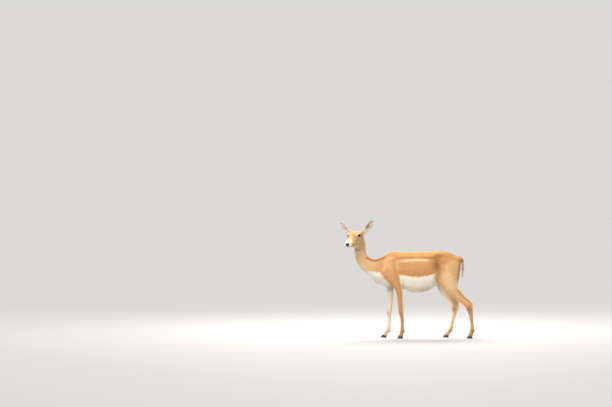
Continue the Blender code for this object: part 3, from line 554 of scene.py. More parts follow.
def bell(points, centre, spread):
    """A bell curve: e to the minus the squared distance from a centre, measured in spreads."""
    away = (points - np.array(centre, float)) / np.array(spread, float)
    return np.exp(-(away**2).sum(1))


def near_line(x, z, line, width):
    """A bell curve across a line seen from the side: e to the minus (distance over width) squared,
    with the distance taken to the nearest of the line's straight runs."""
    line = np.array(line, float)
    spots = np.stack([x, z], axis=1)[:, None, :]
    start, run = line[:-1][None], np.diff(line, axis=0)[None]
    along = np.clip(((spots - start) * run).sum(2) / (run**2).sum(2), 0, 1)
    away = np.linalg.norm(spots - start - along[..., None] * run, axis=2).min(1)
    return np.exp(-((away / width) ** 2))


def edge_height(x, line):
    """The height of a line, given as x and z pairs, above each x."""
    line = np.array(sorted(line), float)
    return np.interp(x, line[:, 0], line[:, 1])


def ripple(points, size, seed):
    """Smooth noise about -1 to 1: the mean of six sine waves of one length in mixed directions."""
    draw = np.random.default_rng(seed)
    ways = unit_rows(draw.normal(size=(6, 3))) * (2 * math.pi / size)
    phases = draw.uniform(0, 2 * math.pi, 6)
    return np.sin(points @ ways.T + phases).sum(1) / 2.5


def read_points(mesh):
    points = np.empty(len(mesh.vertices) * 3, np.float32)
    mesh.vertices.foreach_get("co", points)
    return points.reshape(-1, 3).astype(float)


def read_normals(mesh):
    normals = np.empty(len(mesh.vertices) * 3, np.float32)
    mesh.vertex_normals.foreach_get("vector", normals)
    return normals.reshape(-1, 3).astype(float)


def write_points(mesh, points):
    mesh.vertices.foreach_set("co", points.astype(np.float32).ravel())
    mesh.update()


def write_colours(mesh, name, colours):
    """Puts one colour at each vertex of a mesh as a named attribute."""
    layer = mesh.color_attributes.new(name, "FLOAT_COLOR", "POINT")
    full = np.ones((len(colours), 4), np.float32)
    full[:, :3] = colours
    layer.data.foreach_set("color", full.ravel())


def write_values(mesh, name, values):
    """Puts one number at each vertex of a mesh as a named attribute."""
    layer = mesh.attributes.new(name, "FLOAT", "POINT")
    layer.data.foreach_set("value", values.astype(np.float32))


def modified(obj, kind, **settings):
    """Adds a modifier with its settings, and applies it to the object's mesh."""
    step = obj.modifiers.new(kind.lower(), kind)
    for key, value in settings.items():
        setattr(step, key, value)
    bpy.context.view_layer.update()
    graph = bpy.context.evaluated_depsgraph_get()
    mesh = bpy.data.meshes.new_from_object(obj.evaluated_get(graph))
    obj.modifiers.clear()
    obj.data = mesh
    return obj


def boolean(obj, others, operation):
    """Joins or cuts obj with a list of closed meshes, applied, and removes those meshes."""
    group = bpy.data.collections.new("operands")
    bpy.context.scene.collection.children.link(group)
    for other in others:
        for home in list(other.users_collection):
            home.objects.unlink(other)
        group.objects.link(other)
    settings = {"operand_type": "COLLECTION", "collection": group, "solver": "MANIFOLD"}
    modified(obj, "BOOLEAN", operation=operation, **settings)
    for other in others:
        bpy.data.objects.remove(other)
    bpy.data.collections.remove(group)


def unit_ball(segments, rings, pole):
    """Rings of (sin b cos a, sin b sin a, cos b), where b starts and ends just off the poles, and
    the angles b."""
    polar = np.linspace(pole, math.pi - pole, rings)[:, None]
    turn = angles(segments)[None, :]
    x, y = np.sin(polar) * np.cos(turn), np.sin(polar) * np.sin(turn)
    return np.stack([x, y, np.cos(polar) * np.ones_like(turn)], axis=2), polar


def ball_mesh(radii, place_matrix, segments=48, rings=32):
    """A ball stretched to three radii and set by a matrix, its poles closed by small caps."""
    mesh = loft_mesh("ball", unit_ball(segments, rings, 0.02)[0] * np.array(radii))
    mesh.transform(place_matrix)
    return mesh


def neighbour_pull(mesh):
    """A function that gives, for any places of a mesh's vertices, the way from each vertex to the
    mean of its neighbours."""
    ends = np.empty(len(mesh.edges) * 2, np.int32)
    mesh.edges.foreach_get("vertices", ends)
    ends = ends.reshape(-1, 2)
    meet = np.maximum(np.bincount(ends.ravel(), minlength=len(mesh.vertices)), 1)[:, None]

    def pull(points):
        total = np.zeros_like(points)
        for axis in range(3):
            forth = np.bincount(ends[:, 0], points[ends[:, 1], axis], len(points))
            back = np.bincount(ends[:, 1], points[ends[:, 0], axis], len(points))
            total[:, axis] = forth + back
        return total / meet - points

    return pull


def fill_creases(mesh, rounds, convex_share):
    """Moves each vertex towards the mean of its neighbours: fully where the surface is hollow, so
    that a crease between two forms fills as skin does, and by a small share where it is round."""
    pull = neighbour_pull(mesh)
    for _ in range(rounds):
        points, normals = read_points(mesh), read_normals(mesh)
        way = pull(points)
        hollow = (way * normals).sum(1) > 0
        write_points(mesh, points + way * np.where(hollow, 0.6, 0.6 * convex_share)[:, None])


def blend_round(mesh, share, rounds):
    """Moves each vertex towards the mean of its neighbours by half its own share, many times."""
    pull = neighbour_pull(mesh)
    points = read_points(mesh)
    for _ in range(rounds):
        points = points + 0.5 * share[:, None] * pull(points)
    write_points(mesh, points)


def raised(mesh, table, frame):
    """Lifts a mesh along its normals by a bell curve for each row of a table, read in a frame."""
    points, normals = read_points(mesh), read_normals(mesh)
    spots = through(frame.inverted(), points)
    lift = np.zeros(len(points))
    for x, y, z, rx, ry, rz, height in table:
        for side in (1, -1) if y else (1,):
            lift += height * bell(spots, (x, side * y, z), (rx, ry, rz))
    write_points(mesh, points + normals * lift[:, None])


def in_head(points):
    """Points of the body's frame in the head's own frame."""
    return through(head_matrix().inverted(), points)


def head_share(points):
    """1 on the head, 0 on the neck, with a soft edge along the throat and behind the jaw."""
    x, z = THROAT_AT
    above = (points[:, 0] - x) * math.sin(THROAT_TURN) + (points[:, 2] - z) * math.cos(THROAT_TURN)
    return soft(above, -6, 34) * soft(in_head(points)[:, 0], -30, 6)


def spine_place(points):
    """Where each point lies along the neck and trunk: the share of the way from tail to head, and
    the share of the height from belly to back, from the nearest of many sections."""
    rows = resample(TRUNK, SPINE_SECTIONS)
    back, belly = rows[:, 0:2], rows[:, 2:4]
    run = back - belly
    way, height = np.zeros(len(points)), np.zeros(len(points))
    for start in range(0, len(points), 20000):
        spots = points[start : start + 20000][:, [0, 2]][:, None, :]
        up = ((spots - belly) * run).sum(2) / (run**2).sum(1)
        inside = np.clip(up, -0.1, 1.1)
        away = np.linalg.norm(spots - belly - inside[..., None] * run, axis=2)
        best = away.argmin(1)
        pick = np.arange(len(best))
        way[start : start + 20000] = best / (len(rows) - 1)
        height[start : start + 20000] = up[pick, best]
    return way, height


def spine_index(way):
    """Which of the many sections of the neck and trunk stands at each share of the way."""
    return np.clip(way * (SPINE_SECTIONS - 1), 0, SPINE_SECTIONS - 1).astype(int)


def spine_lie(way):
    """The way that hair lies along the neck and trunk: from head to tail, along the sections' own
    path."""
    run = unit_rows(-np.gradient(middles_of(resample(TRUNK, SPINE_SECTIONS)), axis=0))
    index = spine_index(way)
    return np.stack([run[index, 0], np.zeros(len(way)), run[index, 1]], axis=1)


def leg_place(points, rows):
    """Where points lie on a leg: the share from its front line to its back line at their height,
    how far they are outside those lines, and the distance of its middle from the midline."""
    rows = np.array(rows, float)[::-1]
    z = points[:, 2]
    front = np.interp(z, rows[:, 1], rows[:, 0])
    back = np.interp(z, rows[:, 3], rows[:, 2])
    middle = np.interp(z, (rows[:, 1] + rows[:, 3]) / 2, rows[:, 4])
    share = (points[:, 0] - front) / (back - front)
    outside = np.maximum(front - points[:, 0], points[:, 0] - back)
    return share, outside, middle


def nearest_legs(points):
    """For each leg in turn: which points are nearer to it than to those before it, its rows, and
    where the points lie on it."""
    nearest = np.full(len(points), 1e6)
    for rows, side in LEGS:
        placed = leg_place(points, rows)
        away = np.where(np.sign(points[:, 1]) == side, np.maximum(placed[1], 0), 1e5)
        take = away < nearest
        nearest = np.where(take, away, nearest)
        yield take, rows, placed


def leg_fields(points):
    """For every point: the share from front to back of the leg that it is on, the distance of that
    leg's middle from the midline, and how surely it is on a leg at all."""
    share, middle = np.full(len(points), 0.5), np.full(len(points), 60.0)
    sure = np.zeros(len(points))
    for take, _, (here, outside, centre) in nearest_legs(points):
        share = np.where(take, here, share)
        middle = np.where(take, centre, middle)
        sure = np.where(take, fade(outside, 4, 26), sure)
    return share, middle, sure * own_height(points)


def own_height(points):
    """1 on the free legs, falling to 0 up the shoulder and thigh."""
    return fade(points[:, 2], 400, 520)


def leg_lie(points):
    """The way that hair lies on the legs: down along the leg's own path."""
    found = np.tile([0.0, 0.0, -1.0], (len(points), 1))
    for take, rows, _ in nearest_legs(points):
        middle = middles_of(rows)[::-1]
        lean = np.interp(points[:, 2], middle[:, 1], np.gradient(middle[:, 0], middle[:, 1]))
        way = unit_rows(np.stack([-lean, np.zeros(len(points)), -np.ones(len(points))], axis=1))
        found = np.where(take[:, None], way, found)
    return found


def ear_frame(word):
    """An ear's root, its reach to the tip, and the ways across it and out of its cup."""
    side = SIDES[word]
    x, y, z = EAR_AT
    root = Vector((x, side * y, z))
    x, y, z = EAR_TIPS[word]
    reach = Vector((x, side * y, z)) - root
    way = reach.normalized()
    faces = Vector((EAR_FACES[0], side * EAR_FACES[1], EAR_FACES[2]))
    faces = (faces - way * faces.dot(way)).normalized()
    return root, reach, way.cross(faces), faces


def ear_fields(points):
    """For every point: how surely it is on an ear, its share of the ear's length, how far it is
    from the ear's middle line in half widths, and the way out of the cup."""
    spots = in_head(points)
    sure, share, across = (np.zeros(len(points)) for _ in range(3))
    faces_way, along_way = np.zeros((len(points), 3)), np.zeros((len(points), 3))
    turn = np.array(head_matrix())[:3, :3]
    table = np.array(EAR, float)
    for word in SIDES:
        root, reach, cross, faces = ear_frame(word)
        away = spots - np.array(root)
        at = away @ np.array(reach) / reach.length_squared
        away[:, 1] += SIDES[word] * EAR_ROOT_IN * np.clip(1 - at / EAR_ROOT_SHARE, 0, 1) ** 2
        at = away @ np.array(reach) / reach.length_squared
        sideways, out = away @ np.array(cross), away @ np.array(faces)
        bowed = out + EAR_BOW * at * (1 - at)
        half = np.interp(at, table[:, 0], table[:, 1])
        on = soft(at, 0.05, 0.17) * fade(np.hypot(sideways, bowed) / half, 1.3, 1.7)
        take = on > sure
        sure = np.where(take, on, sure)
        share = np.where(take, at, share)
        across = np.where(take, sideways / half, across)
        faces_way = np.where(take[:, None], turn @ np.array(faces), faces_way)
        along_way = np.where(take[:, None], turn @ np.array(reach.normalized()), along_way)
    return sure, share, across, faces_way, along_way


def tail_share(points):
    """1 on the tail and 0 off it: near the path of its sections and behind the buttocks."""
    near = near_line(points[:, 0], points[:, 2], [row[0:2] for row in TAIL], 14)
    near = np.maximum(near, near_line(points[:, 0], points[:, 2], [row[2:4] for row in TAIL], 10))
    inner = fade(np.abs(points[:, 1]), 15, 20)
    return soft(near, 0.3, 0.7) * inner * soft(points[:, 0], 336, 348)


class Layers:
    """Colours laid one over another at every point, each by a share of its own."""

    def __init__(self, name, count):
        self.look = bpy.context.scene.doe_colours
        self.tone = np.tile(np.array(getattr(self.look, name)), (count, 1))

    def lay(self, name, share, shade=1.0):
        """Moves the tone towards a named colour, times a shade, by a share."""
        share = np.broadcast_to(np.clip(share, 0, 1), len(self.tone))[:, None]
        self.tone = self.tone + (np.array(getattr(self.look, name)) * shade - self.tone) * share

    def dim(self, factor):
        """Multiplies the tone by one factor, or by one for each point."""
        self.tone = self.tone * np.reshape(factor, (-1, 1))

    def cover(self, other, share):
        """Moves the tone towards that of other layers by a share."""
        self.tone = self.tone + (other.tone - self.tone) * share[:, None]


def markings(points, normals):
    """The colour of the coat at every point of the body's frame, laid on in layers, each a named
    colour with a share worked out from where the point is. Some layers are painted shade: the hollow
    before the hip, the shadow under the jaw and the underside of the belly."""
    coat = Layers("tan", len(points))
    lay = coat.lay
    x, y, z = points.T
    flat = points[:, [0, 2]]
    side = np.abs(y)
    inward = -normals[:, 1] * np.sign(y)
    down = np.clip(-normals[:, 2], 0, 1)
    way, height = spine_place(points)
    share, middle, leg = leg_fields(points)
    wander = ripple(points, 34, 3)
    rough = flat + np.stack([5 * ripple(points, 30, 33), 9 * ripple(points, 26, 35)], axis=1)
    limb = soft(share, -0.3, -0.02) * fade(share, 0.76, 0.92) * fade(z, 505, 545)
    limb = limb * fade(inward, 0.0, 0.35)

    thigh = near_line(x, z, ((262, 600), (262, 520), (286, 450)), 74)
    lay("pale", 0.9 * thigh + 0.10 * wander)
    lay("cream", 0.50 * near_line(x, z, ((216, 510), (262, 440), (318, 372)), 56))
    lay("pale", 0.5 * bell(flat, (-258, 596), (52, 74)))
    neck = soft(way, 0.62, 0.76)
    lay("pale", 0.95 * neck)
    lay("cream", 0.6 * neck * fade(height, 0.1, 0.62))
    flank = soft(x, -200, -150) * fade(x, 120, 160)
    lay("rust", (0.10 + 0.18 * fade(z, 530, 620)) * flank)
    lay("pale", 0.16 * ripple(points * [1, 1, 0.25], 52, 19).clip(0, 1) * flank)

    gold_edge = edge_height(x, GOLD_EDGE) + 4 * ripple(points, 60, 5)
    on_top = soft(z, gold_edge - 5, gold_edge + 9) * fade(way, 0.74, 0.82)
    lay("gold", 0.95 * np.maximum(on_top, neck * soft(height, 0.80, 0.95)))
    lay("gold", 0.5 * bell(flat, (230, 690), (110, 40)))
    lay("rust", 0.52 * bell(rough, (240, 698), (92, 40)))
    lay("cream", 0.15 * on_top * soft(z, 706, 722) * fade(side, 30, 60))
    ragged = z + 1.8 * ripple(points, 15, 21) + 1.2 * ripple(points, 7, 23)
    line_ends = soft(x, -225, -170) * fade(x, 110, 150)
    lay("rust", 0.90 * near_line(x, ragged, RUST_LINE, 8) * line_ends)
    stripe_ends = soft(x, -200, -105) * fade(x, 36, 100)
    lay("cream", 0.95 * near_line(x, ragged, STRIPE, 9.5) * stripe_ends)
    lay("pale", 0.5 * near_line(x, ragged - 10, STRIPE, 10) * stripe_ends)
    nape = near_line(x, z, NAPE_LINE, 10) * soft(side, 2, 12)
    lay("rust", 0.95 * nape)
    lay("brown", 0.6 * nape**2)
    lay("cream", 0.45 * bell(flat, (-494, 700), (34, 62)))
    lay("cream", 0.30 * near_line(x, ragged, SCAPULA_LINE, 11))
    lay("cream", 0.25 * near_line(x, ragged, ((-190, 640), (-186, 580)), 9))
    # Painted shade in the hollow before the hip: rust and brown down the hollow, and a small brown spot of
    # painted shadow behind the hip bone
    lay("rust", 0.50 * bell(rough, (132, 632), (46, 66)))
    lay("brown", 0.80 * bell(rough, (138, 616), (27, 48)))
    lay("brown", 0.40 * near_line(*rough.T, HOLLOW_SHADE_LINE, 22) * soft(z, 540, 600))
    lay("brown", 0.45 * bell(flat, (158, 684), (9, 12)))
    lay("rust", 0.55 * near_line(x, ragged, CROUP_LINE, 8))
    lay("rust", 0.40 * bell(flat, (204, 636), (44, 20)))
    lay("brown", 0.75 * bell(flat, (334, 650), (14, 28)))
    lay("rust", 0.80 * near_line(x, z, RUMP_STREAK, 9) * soft(side, 8, 20))
    # A painted shadow under the jaw: a brown line across the top of the neck, off the head
    throat = near_line(x, ragged, JAW_SHADOW_LINE, 7) * fade(normals[:, 0], 0.15, 0.6)
    lay("brown", 0.65 * throat * (1 - head_share(points)))

    edge = edge_height(x, BELLY_EDGE) + 3.5 * ripple(points, 26, 7) + 1.5 * ripple(points, 9, 25)
    behind = soft(x, -190, -168) * fade(x, 200, 240) * (1 - limb)
    lay("white", fade(z, edge - 5, edge + 4) * behind)
    # Painted shade: tan laid on the underside of the belly where it faces down
    lay("tan", 0.36 * fade(z, 390, 440) * soft(down, 0.2, 0.7) * behind)
    front = edge_height(x, CHEST_EDGE) + 4 * ripple(points, 30, 9) + 2 * ripple(points, 11, 27)
    chest = fade(z, front - 8, front + 8) * fade(x, -232, -216) * soft(x, -450, -425)
    lay("white", chest * (1 - limb))

    inner = soft(inward, -0.05, 0.45) * fade(z, 530, 590) * (1 - neck)
    lay("white", 0.85 * inner * soft(z, 250, 420))
    lay("cream", 0.9 * inner * fade(z, 330, 460))
    between = fade(side, middle - 22, middle - 6) * fade(z, 520, 560) * (1 - leg)
    lay("white", between * soft(x, -420, -380) * soft(down + inner, 0.1, 0.4))
    seat_patch = soft(normals[:, 0], 0.35, 0.75) * fade(z, 600, 640) * soft(z, 420, 470)
    lay("white", seat_patch * soft(x, 290, 320) * fade(side, 50, 64))
    lay("white", 0.9 * near_line(x, z, BUTTOCK_EDGE, 7))

    paint_legs(coat, points, share, leg, inward)
    paint_head(coat, points)
    paint_tail(coat, points, normals)
    paint_ears(coat, points, normals)
    coat.dim(1 + 0.05 * ripple(points, 11, 13))
    return coat.tone


def paint_legs(coat, points, share, leg, inward):
    """Rust down the front of each leg, pale along its back edge, white and cream inside, with the
    gaskin's red line, and brown pasterns. The inside of the forelegs is dimmed as painted shade."""
    lay = coat.lay
    x, _, z = points.T
    flat = points[:, [0, 2]]
    outer = fade(inward, -0.1, 0.4)
    hind = x > 0
    front_edge = fade(share, 0.05, 0.38) * leg * (1 - hind * soft(z, 250, 340))
    patches = 0.7 + 0.3 * ripple(points, 44, 29)
    lay("rust", 0.42 * front_edge * soft(z, 60, 120) * outer * patches)
    fore_inside = leg * (1 - outer) * (1 - hind) * soft(z, 70, 110)
    lay("white", 0.4 * fore_inside)
    # Painted shade: the inside of the forelegs dimmed
    coat.dim(1 - 0.14 * fore_inside)
    shank = (1 - outer) * leg * hind * fade(z, 300, 360)
    lay("tan", 0.6 * shank * soft(share, 0.15, 0.5) * fade(share, 0.8, 1.0))
    lay("white", 0.6 * shank * fade(share, 0.05, 0.35))
    back_edge = soft(share, 0.74, 0.96) * leg * soft(z, 90, 150)
    lay("cream", 0.85 * back_edge)
    gaskin_place = soft(z, 268, 300) * fade(z, 395, 430) * hind * outer
    lay("pale", 0.5 * gaskin_place)
    lay("gold", 0.5 * hump(share, 0.58, 0.13) * gaskin_place)
    red = hump(share, 0.79, 0.065) * gaskin_place
    lay("rust", 0.95 * red)
    lay("brown", 0.10 * red)
    hock = bell(flat, (410, 240), (22, 30)) + bell(flat, (284, 236), (20, 26))
    lay("brown", 0.72 * hock * fade(share, 0.7, 0.92))
    lay("brown", 0.16 * leg * outer * fade(z, 170, 250))
    knee = bell(flat, (-268, 206), (9, 16)) + 0.7 * bell(flat, (-176, 206), (9, 16))
    lay("rust", 0.7 * knee)
    lay("brown", 0.42 * fade(z, 40, 100))


def paint_head(coat, points):
    """Golden crown with a dark spot on its midline, pale bridge, narrow pale rims round the eyes,
    upright gland marks, a pale band over an orange jaw, white muzzle and chin, and the dark bare
    nose and lips. The cream on the bridge is a painted highlight, the upper face is darkened as
    painted shade, and the lower face is lightened as painted light."""
    head = head_share(points)
    spots = in_head(points)
    s, t, u = spots.T
    side = np.abs(t)
    face = Layers("pale", len(points))
    lay = face.lay
    lay("tan", 0.25 * fade(s, 10, 60))
    crown = soft(u, 16, 46) * fade(s, 118, 150) * (1 - soft(side, 40, 56) * soft(u, 18, 34))
    lay("gold", 0.92 * crown)
    # Painted highlight: cream along the bridge of the nose, where the light falls on it
    bridge = soft(s, 118, 150) * fade(side, 10, 26) * soft(u, -8, 10)
    lay("cream", 0.45 * bridge)
    # Painted shade: the upper face darkened, most on the crown and forehead where the light falls strongest
    face.dim(1 - 0.32 * soft(u, -6, 24))
    lay("tan", 0.72 * bell(np.abs(spots), (98, 20, 44), (26, 16, 18)))
    lay("tan", 0.42 * soft(s, 150, 175) * soft(side, 14, 26) * fade(u, -4, 10))
    # Painted light: the lower face and jaw lightened, where little light reaches from below
    face.dim(1 + 0.12 * fade(u, -52, -16))
    lay("tan", 0.55 * bell(spots, (70, 52, -22), (38, 60, 13)))
    lay("gold", 0.9 * near_line(s, u, ((160, -38), (104, -54), (66, -60)), 14))
    lay("rust", 0.5 * near_line(s, u, ((150, -58), (96, -76), (56, -80)), 8))
    lay("cream", 0.6 * near_line(s, u, ((176, -12), (130, -18), (88, -28)), 8))
    lay("brown", 0.80 * bell(spots, (122, 11, 36), (11, 8, 13)))
    lay("rust", 0.55 * near_line(s, t, ((130, 11), (162, 14)), 5) * soft(u, 0, 12))
    by_ear = sum(bell(spots, (EAR_AT[0] + 4, sign * EAR_AT[1], EAR_AT[2]), (18, 18, 18)) for sign in (1, -1))
    lay("cream", 0.9 * by_ear, 0.85)
    for sign in SIDES.values():
        at, around = by_eye(sign, points)
        before = soft(at[:, 2], -10, -4)
        lay("gold", 0.5 * fade(around, 1.5, 2.3) * before)
        ring = soft(around, 1.0, 1.2) * fade(around, 1.38, 1.75) * before
        lay("cream", (0.35 + 0.35 * soft(at[:, 1], 0, 10)) * ring)
        lay("white", 0.55 * bell(at, (0, 18, 6), (17, 4.5, 12)))
        lay("nose", 0.92 * fade(around, 1.04, 1.15) * before)
        lay("brown", 0.6 * bell(at, (-sign * 20, -5, 8), (8, 4, 10)))
        gland = through(gland_matrix(sign).inverted(), points)
        mark = np.clip(1.6 * bell(gland, (-11, 2, 0), (14, 5.0, 14)), 0, 1)
        lay("rust", 0.8 * mark)
        lay("brown", 0.95 * mark**2, 0.6)
    lay("cream", 0.8 * fade(u, -62, -44) * soft(s, 60, 110))
    edge = 206 + 12 * soft(side, 13, 26) + 2.5 * ripple(points, 14, 31)
    lay("cream", 0.35 * soft(s, 172, 200))
    lay("white", soft(s, edge - 5, edge + 6))
    lay("white", soft(s, 178, 190) * fade(u, -40, -30))
    lay("nose", bare_share(points))
    coat.cover(face, head)


def bare_share(points):
    """1 on the bare dark skin of the nose, the nostrils and the lips, and 0 on the coat. The half
    width of the nose pad is widest at the nostrils and narrows to the lip."""
    spots = in_head(points)
    s, t, u = spots.T
    half = np.interp(u, (-34, -28, -20, -12, -6), (8.5, 11, 16, 18, 12))
    pad = soft(s, 214, 221) * fade(np.abs(t) - half, -1.2, 1.2) * soft(u, -34, -31)
    pad = pad * fade(u, -7, -3)
    lips = hump(u - MOUTH_HEIGHT + 4 * soft(229 - s, 0, 60), 0, 3.0) * soft(s, 176, 196)
    return np.clip(pad + 0.85 * lips, 0, 1) * head_share(points)


def paint_tail(coat, points, normals):
    """White at its sides, with a faint brown band at mid length, tan behind, brown at its root and
    golden at its tip."""
    z = points[:, 2]
    hair = Layers("white", len(points))
    hair.lay("brown", 0.22 * hump(z, 604, 18))
    hair.lay("gold", 0.8 * fade(z, 540, 562))
    hair.lay("tan", 0.85 * np.maximum(soft(normals[:, 0], 0.7, 0.95), soft(z, 640, 668)))
    hair.lay("brown", 0.45 * soft(z, 644, 668))
    coat.cover(hair, tail_share(points))


def paint_ears(coat, points, normals):
    """Pale inside with a dark patch in the cup, for its bare skin and painted shade deep in the ear canal,
    and a brown edge, tan outside, brown at the tip.
    """
    sure, share, across, faces, _ = ear_fields(points)
    cup = Layers("cream", len(points))
    cup.lay("white", 0.5)
    cup.dim(0.72)
    # The dark patch: bare skin, and painted shade deep in the ear canal
    cup.lay("nose", 0.86 * np.exp(-(((share - 0.45) / 0.10) ** 2) - ((across + 0.05) / 0.30) ** 2))
    cup.lay("brown", 0.35 * soft(np.abs(across), 0.74, 0.98))
    ear = Layers("pale", len(points))
    ear.lay("tan", 0.6 * soft(share, 0.2, 0.6))
    ear.cover(cup, soft((normals * faces).sum(1), -0.1, 0.3))
    ear.lay("brown", 0.45 * soft(share, 0.86, 1.0))
    coat.cover(ear, sure)


def coat_depth(points):
    """How far the skin lies inside the outline of the coat, in millimetres: deepest on the chest
    and belly, thinner down the legs, thinnest on the face and ears."""
    full = bpy.context.scene.doe_sizes.coat_depth / MM
    x, _, z = points.T
    depth = full * (1 + 0.35 * bell(points, (-360, 0, 480), (60, 60, 60)))
    depth = depth * (1 + 0.25 * fade(z, 400, 450) * soft(x, -150, -60) * fade(x, 90, 150))
    by_height = np.interp(z, (0, 90, 250, 400, 540), (0.34, 0.36, 0.42, 0.7, 1.0))
    depth = depth * by_height
    depth = mixed(depth, 1.0, head_share(points))
    near_eye = sum(bell(by_eye(sign, points)[0], (0, 0, 12), (22, 18, 20)) for sign in (1, -1))
    depth = depth * (1 - 0.75 * np.clip(near_eye, 0, 1))
    return mixed(depth, 0.3, ear_fields(points)[0])


def ear_rings(word, along=72, across=33):
    """An ear: rings of an outer arc and an inner one, along the ear from its root to its tip. The
    arc's half angle narrows from half a tube to a leaf. Near the root the cup is filled up to its
    chord, and inside it three low ridges run towards the tip."""
    rows = np.array(EAR, float)
    share = np.linspace(0, 1, along) ** 0.9
    half, angle, fill = (np.interp(share, rows[:, 0], rows[:, k])[:, None] for k in (1, 2, 3))
    angle = np.radians(angle)
    root, reach, cross, faces = ear_frame(word)
    spread = np.linspace(-1, 1, across)[None, :]
    radius = half / np.sin(angle)
    edge = np.sqrt(np.clip(1 - spread**4, 0.05, 1))
    thick = np.minimum(EAR_THICKNESS, 0.4 * half + 0.6) * edge / 2
    ridge = 0.7 * np.cos(3 * math.pi * spread) * (1 - spread**2)
    ridge = ridge * soft(share, 0.42, 0.6)[:, None] * fade(share, 0.8, 0.97)[:, None]
    sag = EAR_BOW * share[:, None] * (1 - share[:, None])
    outer_b = (radius + thick) * np.sin(spread * angle)
    outer_n = -(radius + thick) * np.cos(spread * angle)
    inner_b = (radius - thick - ridge) * np.sin(spread * angle)
    inner_n = -(radius - thick - ridge) * np.cos(spread * angle)
    inner_n = inner_n + fill * (inner_n[:, :1] - inner_n)
    across_way = np.concatenate([outer_b, inner_b[:, ::-1]], axis=1)
    facing = np.concatenate([outer_n, inner_n[:, ::-1]], axis=1) + radius - sag
    inset = -SIDES[word] * EAR_ROOT_IN * np.clip(1 - share / EAR_ROOT_SHARE, 0, 1) ** 2
    return (
        np.array(root)
        + inset[:, None, None] * np.array([0.0, 1.0, 0.0])
        + (share * reach.length)[:, None, None] * np.array(reach.normalized())
        + across_way[:, :, None] * np.array(cross)
        + facing[:, :, None] * np.array(faces)
    )


def fused_flesh():
    """The trunk, neck, head and legs fused, their creases filled and the relief raised."""
    forms = [loft_mesh("trunk", rings_of(TRUNK, 90, 40))]
    for rows, side in LEGS:
        own = [(*row[:4], side * row[4], *row[5:]) for row in rows]
        forms.append(loft_mesh("leg", rings_of(own, 90, 28)))
    skull = loft_mesh("skull", rings_of([(s, top, s, low, 0, *w) for s, top, low, *w in SKULL], 60, 40))
    skull.transform(head_matrix())
    forms.append(skull)
    for side in SIDES.values():
        orbit_at = eye_matrix(side) @ Matrix.Translation((0, 0, -ORBIT_SUNK))
        forms.append(ball_mesh(ORBIT, orbit_at, 24, 14))
    shape = bmesh.new()
    for mesh in forms:
        shape.from_mesh(mesh)
    mesh = bpy.data.meshes.new("flesh")
    shape.to_mesh(mesh)
    shape.free()
    flesh = place(mesh, "skin")
    modified(flesh, "REMESH", mode="VOXEL", voxel_size=VOXEL)
    fill_creases(flesh.data, *FIRST_FILL)
    points = read_points(flesh.data)
    away = (points - NAPE_AT) / NAPE_SPREAD
    blend_round(flesh.data, np.exp(-((away**2).sum(1) ** 2)), NAPE_ROUNDS)
    raised(flesh.data, RELIEF, Matrix())
    raised(flesh.data, HEAD_RELIEF, head_matrix())
    fill_creases(flesh.data, *LAST_FILL)
    return modified(flesh, "SUBSURF", levels=1, render_levels=1)


def carve(mesh):
    """Finer forms: the table of the face's relief, the crease above each upper lid and below each
    lower one, the lines of muscle and bone, the ribs as a wave of sine, and the grooves between
    bone and tendon on the legs."""
    raised(mesh, FACE_RELIEF, head_matrix())
    points, normals = read_points(mesh), read_normals(mesh)
    lift = np.zeros(len(points))
    for sign in SIDES.values():
        at, around = by_eye(sign, points)
        ahead = soft(at[:, 2], 0, 8)
        upper, lower = soft(at[:, 1], -1, 6), soft(-at[:, 1], 0, 6)
        lift -= 1.0 * hump(around, 1.42, 0.10) * upper * ahead
        lift += 0.8 * hump(around, 1.62, 0.12) * upper * ahead
        lift -= 0.6 * hump(around, 1.50, 0.12) * lower * ahead
    share, _, leg = leg_fields(points)
    z = points[:, 2]
    hind = points[:, 0] > 0
    shank = soft(z, 90, 112) * fade(z, 178, 198) + 0.8 * soft(z, 286, 310) * fade(z, 352, 376) * hind
    lift -= 1.9 * hump(share, 0.63, 0.10) * shank * leg
    for heel, toe, y in FEET.values():
        for at in ((toe + 20, y, 36), (heel - 2, y, 30)):
            lift -= 3.2 * bell(points, at, (13, 2.4, 16))
    off_middle = soft(np.abs(points[:, 1]), 24, 44)
    for line, width, height in BODY_LINES:
        lift += height * near_line(points[:, 0], z, line, width) * off_middle
    ribs = bell(points[:, [0, 2]], (-70, 590), (90, 60)) * off_middle
    lift += 0.7 * ribs * np.sin((points[:, 0] + 0.45 * z) * 2 * math.pi / 27)
    lift += 0.5 * ripple(points, 46, 17) * (1 - head_share(points)) * soft(z, 420, 520)
    write_points(mesh, points + normals * lift[:, None])


def skull_width(forward, height):
    """Half the skull's width at distances forward and heights, read from its sections."""
    rows = np.array(SKULL, float)
    top, low, near, mid, far = (np.interp(forward, rows[:, 0], rows[:, k]) for k in range(1, 6))
    cos = np.clip((2 * height - top - low) / (top - low), -1, 1)
    mean = (near + far) / 2
    width = mean + (near - far) / math.sqrt(2) * cos + (mean - mid) * (2 * cos**2 - 1)
    return width * np.sqrt(1 - cos**2)


def gland_matrix(side):
    """The frame of the scent gland before an eye: x down its slit, z out of the cheek."""
    x, z = GLAND_AT
    at = (x, side * (float(skull_width(x, z)) + GLAND_PROUD), z)
    return head_matrix() @ frame_matrix((0.1, side, 0.1), (1, 0, 0.2), at)


